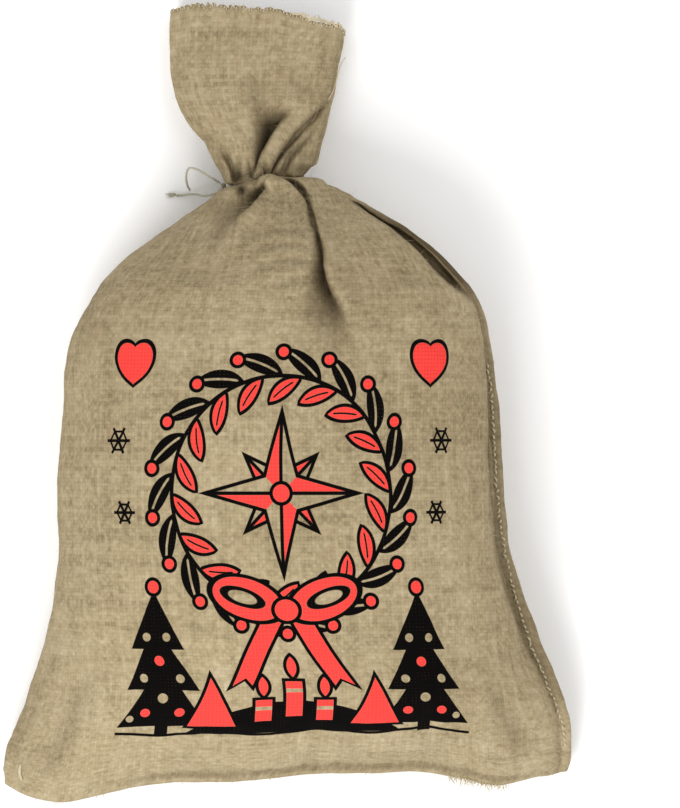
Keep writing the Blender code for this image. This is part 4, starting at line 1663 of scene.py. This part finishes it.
def tubes(name: str, strands: Sequence[Strand], sides: int) -> bpy.types.Object:
    """Join many thin round strands into one mesh.

    Args:
        name: the object's name.
        strands: each one's points in metres and its radius at each point.
        sides: how many sides a strand has.

    Returns:
        The strands' object, in the part's own frame.
    """
    verts: list[np.ndarray] = []
    faces: list[tuple[int, ...]] = []
    start = 0
    turn = np.arange(sides) * (math.tau / sides)
    for points, radii in strands:
        side, up = square_to(points, (0.31, 0.52, 0.79))
        across = side[:, None, :] * np.cos(turn)[None, :, None]
        across = across + up[:, None, :] * np.sin(turn)[None, :, None]
        ring = points[:, None, :] + across * radii[:, None, None]
        verts += [ring.reshape(-1, 3), points[:1], points[-1:]]
        count = len(points)
        low, high = start + count * sides, start + count * sides + 1
        for i in range(sides):
            j = (i + 1) % sides
            for r in range(count - 1):
                a = start + r * sides
                faces.append((a + i, a + j, a + sides + j, a + sides + i))
            faces.append((low, start + j, start + i))
            end = start + (count - 1) * sides
            faces.append((high, end + i, end + j))
        start += count * sides + 2
    mesh = bpy.data.meshes.new(name)
    mesh.from_pydata(np.concatenate(verts).tolist(), [], faces)
    face_outwards(mesh)
    mesh.shade_smooth()
    return link(mesh)


def even(points: np.ndarray, step: float) -> np.ndarray:
    """Space points evenly along a line.

    Args:
        points: the line's points.
        step: about how far apart they get.

    Returns:
        The new points.
    """
    length = summed(strides(points))
    count = max(2, int(round(length[-1] / step)) + 1)
    want = np.linspace(0.0, length[-1], count)
    return np.stack([np.interp(want, length, values) for values in points.T], axis=-1)


@dataclass
class Twist:
    """Twine laid up from twisted plies.

    Attributes:
        radius: the twine's radius, in metres.
        plies: how many strands are twisted together.
        lay: length of one whole turn, in metres.
        apart: how far the plies' middles lie from the twine's, in its radii.
        ply: radius of a ply, in the same.
        sides: sides of a ply.
        step: distance between the points of a ply, in metres.
    """

    radius: float = 0.00085
    plies: int = 2
    lay: float = 0.0046
    apart: float = 0.46
    ply: float = 0.56
    sides: int = 8
    step: float = 0.00045

    def strands(self, route: np.ndarray) -> list[Strand]:
        """The plies round a route.

        Args:
            route: the twine's centreline, in metres.

        Returns:
            Each ply's points and radii.
        """
        line = even(route, self.step)
        side, up = square_to(line, (0.2, 0.3, 0.93))
        turn = np.arange(len(line)) * self.step / self.lay * math.tau
        out = []
        for number in range(self.plies):
            phase = turn + number * math.tau / self.plies
            offset = side * np.cos(phase)[:, None] + up * np.sin(phase)[:, None]
            radii = np.full(len(line), self.ply * self.radius)
            out.append((line + offset * (self.apart * self.radius), radii))
        return out


@dataclass
class Tie:
    """The twine round the neck with its knot, its loop and its loose end.

    Attributes:
        loop: route of the loop, from the knot.
        end: route of the loose end, from the neck.
        knot: middle of the knot at the neck.
        end_knot: middle of the knot at the loose end.
        turns: how far each turn round the neck lies from the tie's line.
        twist: how the twine is laid up.
        finish: its look.
    """

    loop: Sequence[tuple[float, ...]] = (
        (-44.6, 146.6, 35.5), (-52.0, 151.0, 39.0), (-60.0, 155.6, 38.0), (-65.6, 156.6, 33.5),
        (-67.6, 151.5, 27.0), (-67.0, 145.6, 19.0), (-65.4, 142.6, 11.5))
    end: Sequence[tuple[float, ...]] = (
        (-44.8, 141.6, 32.0), (-50.5, 139.2, 26.0), (-56.0, 138.6, 18.5), (-61.0, 139.8, 11.0),
        (-66.0, 140.0, 5.0), (-71.0, 139.4, 1.75), (-74.6, 139.3, 1.70))
    knot: tuple[float, ...] = (-42.4, 143.8, 34.0)
    end_knot: tuple[float, ...] = (-77.6, 139.6, 1.75)
    turns: Sequence[float] = (-0.9, 0.9)
    twist: Twist = field(default_factory=Twist)
    finish: Yarn = Yarn("jute_twine", (0.20, 0.185, 0.14), (0.60, 0.56, 0.45))

    def build(self, cloth: SackCloth) -> None:
        """Args:
            cloth: the sack, for the place of its neck.
        """
        material = self.finish.material()
        loose = self.loose_knot("end_knot", self.end_knot, (3.1, 1.7, 1.5), True)
        loop = self.free("loop", self.loop, "tie_loop", ())
        end = self.free("loose_end", self.end, "tie_end", (loose,))
        wrap = tubes("wrap", self.twist.strands(self.ring(cloth)), self.twist.sides)
        knot = self.loose_knot("knot", self.knot, (2.0, 3.9, 3.1), False)
        for obj, node in ((loop, "tie_loop"), (end, "tie_end"), (wrap, "tie_wrap"),
                          (knot, "tie_knot"), (loose, "tie_end_knot")):
            obj.data.materials.append(material)
            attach(obj, "root")
            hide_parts(node)
            LOG.info("twine, %s: %d faces", obj.name, len(obj.data.polygons))

    def free(self, name: str, route: Sequence[tuple[float, ...]], node: str,
             carried: Sequence[bpy.types.Object]) -> bpy.types.Object:
        """A loose stretch of twine.

        Args:
            name: the piece's name.
            route: its points on the drawing, in mm.
            node: the CAD node that it stands for; not used.
            carried: the pieces on it; not used.

        Returns:
            The stretch's object.
        """
        line = placed(smooth_route(route, ROUTE_STEPS))
        obj = tubes(name, self.twist.strands(line), self.twist.sides)
        return obj

    def ring(self, cloth: SackCloth) -> np.ndarray:
        """Run two turns of twine round the neck, outside its gathers.

        Args:
            cloth: the sack.

        Returns:
            The turns' points, in metres.
        """
        turns = []
        for shift in self.turns:
            level = TIE_Y + shift
            row = int(np.argmin(np.abs(cloth.points[:, 0, 1] - level)))
            hull = self.hull(cloth.points[row][:, (0, 2)])
            centre = hull.mean(axis=0)
            angle = np.arctan2(hull[:, 1] - centre[1], hull[:, 0] - centre[0])
            order = np.argsort(angle)
            around = np.linspace(-math.pi, math.pi, 97)[:-1]
            away = np.hypot(*(hull - centre)[order].T)
            size = np.interp(around, angle[order], away, period=math.tau)
            size = size + 0.2 - 2.4 * bump(around, 0.25, 0.6)
            x, z = centre[0] + size * np.cos(around), centre[1] + size * np.sin(around)
            turns.append(np.stack((x, level + tie_rise(x), z), axis=-1))
        # The first turn steps over to the second one at its end.
        share = np.linspace(0.0, 1.0, 96)[:, None]
        first = turns[0] * (1 - 0.5 * share ** 6) + turns[1] * 0.5 * share ** 6
        second = closed(turns[1])
        return placed(np.vstack((first, second)))

    @staticmethod
    def hull(points: np.ndarray) -> np.ndarray:
        """Find the outer corners of points in a plane.

        Args:
            points: the points.

        Returns:
            The corners, in order.
        """
        ordered = sorted(map(tuple, points.tolist()))
        halves = []
        for run in (ordered, ordered[::-1]):
            half: list[tuple[float, float]] = []
            for p in run:
                while len(half) > 1 and ((half[-1][0] - half[-2][0]) * (p[1] - half[-2][1])
                                         - (half[-1][1] - half[-2][1]) * (p[0] - half[-2][0])) <= 0:
                    half.pop()
                half.append(p)
            halves += half[:-1]
        return np.array(halves)

    def loose_knot(self, name: str, middle: Sequence[float], size: Sequence[float],
                   frayed: bool) -> bpy.types.Object:
        """An overhand knot of the same twine.

        Args:
            name: the piece's name.
            middle: its middle on the drawing, in mm.
            size: its half width, length and height, in mm.
            frayed: whether fibres stick out of it.

        Returns:
            The knot's object.
        """
        t = np.linspace(0.0, math.tau, 90)
        shape = np.stack((np.sin(t) + 2 * np.sin(2 * t), np.cos(t) - 2 * np.cos(2 * t),
                          -2.2 * np.sin(3 * t)), axis=-1)
        spare = np.array(size) - 0.85
        line = (np.array(middle) - ORIGIN + shape / (3.0, 3.0, 2.2) * spare) * MM
        strands = self.twist.strands(line)
        rng = np.random.default_rng(17 if frayed else 18)
        for _ in range(26 if frayed else 8):
            aim = rng.normal(size=3) * (0.5, 0.45, 0.35)
            aim = aim + ((-1.3, 0.1, 0.05) if frayed else (-0.3, 0.0, 0.2))
            start = np.array(middle) - ORIGIN + rng.normal(size=3) * 0.4
            reach = rng.uniform(1.6, 3.0) if frayed else rng.uniform(2.5, 5.0)
            path = np.array([start + aim * reach * s + rng.normal(size=3) * 0.15 * s
                             for s in (0, 0.35, 0.7, 1)])
            strands.append((raised(path, 0.15) * MM, np.array((0.14, 0.12, 0.1, 0.05)) * MM))
        return tubes(name, strands, 6)


@dataclass
class Stitching:
    """The stitches that show on the seam allowance.

    Attributes:
        side: line of the stitches on the sewn side, as X and Y on the drawing.
        corner: the long one that shows at the lower left corner.
        pitch: distance from one stitch to the next.
        size: radius of the sewing thread.
        step: distance between a stitch's points.
        steepest: how much longer than on the drawing a stitch may be on the cloth.
        finish: its look.
    """

    side: Sequence[tuple[float, float]] = (
        (124.5, 60.0), (131.0, 37.0), (136.4, 0.0), (138.4, -42.7), (140.4, -66.0), (142.0, -84.0),
        (146.0, -105.3), (152.0, -128.0), (159.0, -151.3), (166.2, -169.7), (173.2, -187.3),
        (177.2, -197.0), (181.0, -205.7), (183.8, -215.7), (185.8, -225.7), (185.4, -235.0))
    corner: Sequence[tuple[float, float]] = ((-177.4, -242.0), (-177.8, -248.0), (-177.0, -253.5))
    pitch: float = 4.2
    size: float = 0.82
    step: float = 0.4
    steepest: float = 2.0
    finish: Yarn = Yarn("sewing_thread", (0.30, 0.25, 0.15), (0.60, 0.52, 0.35))

    def build(self, skin: BVHTree) -> bpy.types.Object:
        """Make the stitches on the cloth.

        Args:
            skin: the cloth's surface.

        Returns:
            The stitches' object.
        """
        rng = np.random.default_rng(31)
        strands = []
        line = even(smooth_route(self.side, ROUTE_STEPS), self.step)
        along = np.gradient(line, axis=0)
        along /= np.linalg.norm(along, axis=1, keepdims=True)
        i = 2
        while i < len(line) - 11:
            length = int(rng.integers(6, 10))
            ids = np.arange(i, i + length)
            aside = np.stack((-along[ids, 1], along[ids, 0]), axis=-1)
            arch = np.sin(np.linspace(0.0, math.pi, length))
            sway = rng.uniform(-0.9, 0.9) * np.linspace(-1, 1, length) + 0.5 * arch
            sway = sway + rng.normal() * 0.35
            strands.append(self.laid(skin, line[ids] + aside * sway[:, None], arch))
            i += int(self.pitch / self.step) + int(rng.integers(-1, 2))
        long = even(smooth_route(self.corner, ROUTE_STEPS), 2 * self.step)
        arch = 1.6 * np.sin(np.linspace(0.0, math.pi, len(long))) ** 0.3
        strands.append(self.laid(skin, long, arch))
        strands = [strand for strand in strands if strand is not None]
        obj = tubes("stitches", strands, 6)
        obj.data.materials.append(self.finish.material())
        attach(obj, "root")
        LOG.info("stitches: %d", len(strands))
        return obj

    def laid(self, skin: BVHTree, flat: np.ndarray, arch: np.ndarray) -> Union[Strand, None]:
        """Lay one stitch on the cloth, its ends sunk into it.

        Args:
            skin: the cloth's surface.
            flat: its points on the drawing.
            arch: how high each point rises.

        Returns:
            The stitch, or None where the cloth is missing or too steep for it.
        """
        points = []
        for (px, py), rise in zip(flat, arch):
            x, y, _ = placed(np.array((px, py, 0.0)))
            hit, normal, _, _ = skin.ray_cast(Vector((x, y, 0.4)), Vector((0.0, 0.0, -1.0)))
            if hit is None:
                return None
            points.append(hit + normal * (0.8 * rise - 0.2) * MM)
        laid = np.array(points)
        if float(strides(laid).sum()) > self.steepest * float(strides(flat).sum()) * MM:
            return None
        return laid, (0.55 + 0.45 * arch) * self.size * MM


@dataclass
class Frays:
    """Yarn ends at the raw edges, a loose yarn, and the fuzz of the cloth.

    Attributes:
        fringes: along the bottom, each stretch's two ends in X, how many yarns hang out
            of it, and the longest of them.
        fibres: how many fibres stand off the cloth.
        loose: the loose yarn beside the mouth.
        finish: the look of them all.
    """

    fringes: Sequence[tuple[float, float, int, float]] = (
        (108.0, 148.0, 120, 4.0), (-158.0, -150.0, 9, 2.8), (-185.0, 185.0, 50, 0.9))
    fibres: int = 1000
    loose: Sequence[tuple[float, ...]] = (
        (23.7, 196.0, 34.0), (27.0, 201.3, 33.0), (31.3, 209.1, 31.0), (34.3, 220.0, 29.0),
        (35.8, 225.1, 28.0), (39.3, 231.4, 27.0))
    finish: Yarn = Yarn("loose_jute", (0.33, 0.27, 0.165), (0.66, 0.57, 0.39))

    def build(self, cloth: SackCloth, sack: bpy.types.Object) -> None:
        """Args:
            cloth: the sack, with its points in place.
            sack: the sack's object.
        """
        material = self.finish.material()
        ends = tubes("yarn_ends", self.mouth(cloth) + self.bottom(cloth) + self.yarn(), 5)
        fuzz = tubes("fuzz", self.fuzz(sack), 3)
        for obj in (ends, fuzz):
            obj.data.materials.append(material)
            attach(obj, "root")
            LOG.info("%s: %d faces", obj.name, len(obj.data.polygons))

    @staticmethod
    def curl(start: np.ndarray, aim: np.ndarray, reach: float, size: float,
             rng: np.random.Generator) -> Strand:
        """A short end of yarn that bends a little.

        Args:
            start: where it leaves the cloth, in mm.
            aim: its direction.
            reach: its length, in mm.
            size: its radius, in mm.
            rng: the randomness to use.

        Returns:
            Its points and radii, in metres.
        """
        bend = rng.normal(size=3) * 0.28
        share = np.linspace(0.0, 1.0, 6)[:, None]
        points = start + aim * reach * share + bend * reach * share ** 2
        return placed(raised(points, size)), np.linspace(1.0, 0.45, 6) * size * MM

    def mouth(self, cloth: SackCloth) -> list[Strand]:
        """Set the warp's ends along the mouth.

        Args:
            cloth: the sack.

        Returns:
            The yarn ends.
        """
        rng = np.random.default_rng(41)
        ring, before = closed(cloth.points[-1]), closed(cloth.points[-5])
        both = even(np.hstack((ring, ring - before)), THREAD)
        strands = []
        for point in both:
            aim = point[3:] / np.linalg.norm(point[3:])
            start = point[:3] - aim * 2.0 + rng.normal(size=3) * 0.2
            bare = float(bump(point[0], OPEN_X, OPEN_REACH)) if point[2] > MOUTH_FRONT else 0.0
            reach = 2.0 + abs(rng.normal()) * 0.45 + 2.8 * bare
            strands.append(self.curl(start, aim, reach, rng.uniform(0.34, 0.52), rng))
        return strands + self.open_weft(ring)

    @staticmethod
    def open_weft(ring: np.ndarray) -> list[Strand]:
        """Draw the last weft yarns at the mouth's upper right corner, a little apart.

        Args:
            ring: the mouth's edge.

        Returns:
            The yarns.
        """
        front = ring[(ring[:, 2] > MOUTH_FRONT) & (ring[:, 0] > 2.0) & (ring[:, 0] < 40.0)]
        strands = []
        for away, size in ((2.3, 0.55), (1.1, 0.4)):
            lift = away * bump(front[:, 0], OPEN_X, 14.0)
            line = front + np.stack((0 * lift, lift, 0.2 + 0 * lift), axis=-1)
            strands.append((placed(line), np.full(len(line), size * MM)))
        return strands

    def bottom(self, cloth: SackCloth) -> list[Strand]:
        """Hang ends out below the bottom seam.

        Args:
            cloth: the sack.

        Returns:
            The yarn ends.
        """
        rng = np.random.default_rng(43)
        edge = cloth.points[0, :cloth.front_columns]
        strands = []
        for low, high, count, longest in self.fringes:
            for _ in range(count):
                x = rng.uniform(low, high)
                nearest = edge[int(np.argmin(np.abs(edge[:, 0] - x)))]
                start = nearest + (0.0, 1.0, rng.uniform(-1.0, 1.0))
                aim = np.array((rng.normal() * 0.35, -1.0, rng.normal() * 0.3))
                reach = 1.0 + longest * rng.uniform(0.3, 1.0) ** 2
                strands.append(self.curl(start, aim, reach, rng.uniform(0.2, 0.4), rng))
        return strands

    def yarn(self) -> list[Strand]:
        """The loose yarn at the mouth's right side."""
        line = placed(smooth_route(self.loose, 6))
        return [(line, np.linspace(1.0, 0.6, len(line)) * 0.5 * MM)]

    def fuzz(self, sack: bpy.types.Object) -> list[Strand]:
        """Set fine fibres that stand off the cloth.

        Args:
            sack: the sack's object.

        Returns:
            The fibres.
        """
        rng = np.random.default_rng(47)
        polygons, shade = sack.data.polygons, sack.data.attributes["shade"].data
        strands = []
        while len(strands) < self.fibres:
            face = polygons[int(rng.integers(len(polygons)))]
            x, y, z = face.center
            # None on the print, where the sack rests, or deep in a fold.
            printed = abs(x) < 0.125 and -0.23 < y < 0.05 and z > 0.08
            if z < 0.004 or printed or shade[face.vertices[0]].value > 0.2:
                continue
            aim = np.array(face.normal) * rng.uniform(0.3, 1.0) + rng.normal(size=3) * 0.55
            reach = rng.uniform(0.0018, 0.0048)
            share = np.linspace(0.0, 1.0, 4)[:, None]
            path = np.array(face.center) + aim * reach * share
            path = path + rng.normal(size=3) * 0.35 * reach * share ** 2
            strands.append((raised(path, 0.0001), np.array((0.07, 0.065, 0.055, 0.03)) * MM))
        return strands


@dataclass
class Studio:
    """The floor, the lights and the camera, in metres.

    Attributes:
        lamps: each one's name, place, side length and power.
        sky: strength of the light from all round.
        floor_height: height of the floor, just below the sack.
        camera_height: how high the camera hangs.
        view_height: height of the view at the sack's outline, from the photo's pixels.
        centre: middle of the view.
        outline_height: how high the sack's outline lies.
    """

    lamps: Sequence[tuple[str, Sequence[float], float, float]] = (
        ("key", (-0.95, -1.75, 2.4), 1.5, 66.0), ("fill", (1.4, 0.7, 2.6), 2.2, 22.0))
    sky: float = 0.80
    floor_height: float = -0.0004
    camera_height: float = 4.5
    view_height: float = 808 * 2 / 3 * MM
    centre: tuple[float, float] = (0.0356, -0.0014)
    outline_height: float = 0.055

    def build(self) -> None:
        """Set them up."""
        bpy.ops.object.select_all(action="DESELECT")
        bpy.ops.mesh.primitive_plane_add(size=30.0, location=(0.0, 0.0, self.floor_height))
        floor = bpy.context.active_object
        floor.name = "floor"
        floor.data.materials.append(self.floor_finish())
        for lamp in self.lamps:
            self.light(*lamp)
        world = bpy.data.worlds.new("studio")
        bpy.context.scene.world = world
        world.use_nodes = True
        sky = world.node_tree.nodes["Background"]
        sky.inputs["Color"].default_value = (1.0, 1.0, 1.0, 1.0)
        sky.inputs["Strength"].default_value = self.sky
        data = bpy.data.cameras.new("camera")
        camera = bpy.data.objects.new("camera", data)
        bpy.context.scene.collection.objects.link(camera)
        camera.location = (*self.centre, self.camera_height)
        data.sensor_width = 36.0
        data.lens = 36.0 * (self.camera_height - self.outline_height) / self.view_height
        data.clip_end = 60.0
        bpy.context.scene.camera = camera
        bpy.context.scene.view_settings.view_transform = "Standard"

    @staticmethod
    def floor_finish() -> bpy.types.Material:
        """Make a pale matt finish.

        Returns:
            The material.
        """
        g = Graph("pale_floor")
        grain = g.noise(g.object_place(), 40.0)
        share = grain * 0.05 + 0.5
        colour = g.colours(share, ((0.0, (0.92, 0.92, 0.92)), (1.0, (0.97, 0.97, 0.97))))
        return g.finish(colour, share, depth=0.00001, roughness=0.9)

    @staticmethod
    def light(name: str, place: Sequence[float], size: float, power: float) -> None:
        """Hang a soft square light that looks at the sack.

        Args:
            name: the light's name.
            place: where it hangs.
            size: its side's length.
            power: its power.
        """
        data = bpy.data.lights.new(name, "AREA")
        data.size = size
        data.energy = power
        lamp = bpy.data.objects.new(name, data)
        bpy.context.scene.collection.objects.link(lamp)
        lamp.location = place
        lamp.rotation_euler = (-Vector(place)).to_track_quat("-Z", "Y").to_euler()


def surface(obj: bpy.types.Object) -> BVHTree:
    """An object's surface, to lay small pieces on."""
    corners = [vertex.co for vertex in obj.data.vertices]
    return BVHTree.FromPolygons(corners, [face.vertices[:] for face in obj.data.polygons])


def main() -> None:
    """Build the studio and every piece, and attach the pieces to the root."""
    Studio().build()
    cloth = SackCloth()
    sack = cloth.build()
    Tie().build(cloth)
    sack.data.materials.append(Burlap().material())
    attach(sack, "root")
    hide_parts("sack")
    LOG.info("sack: %d faces", len(sack.data.polygons))
    Stitching().build(surface(sack))
    Frays().build(cloth, sack)


if __name__ == "__main__":
    main()
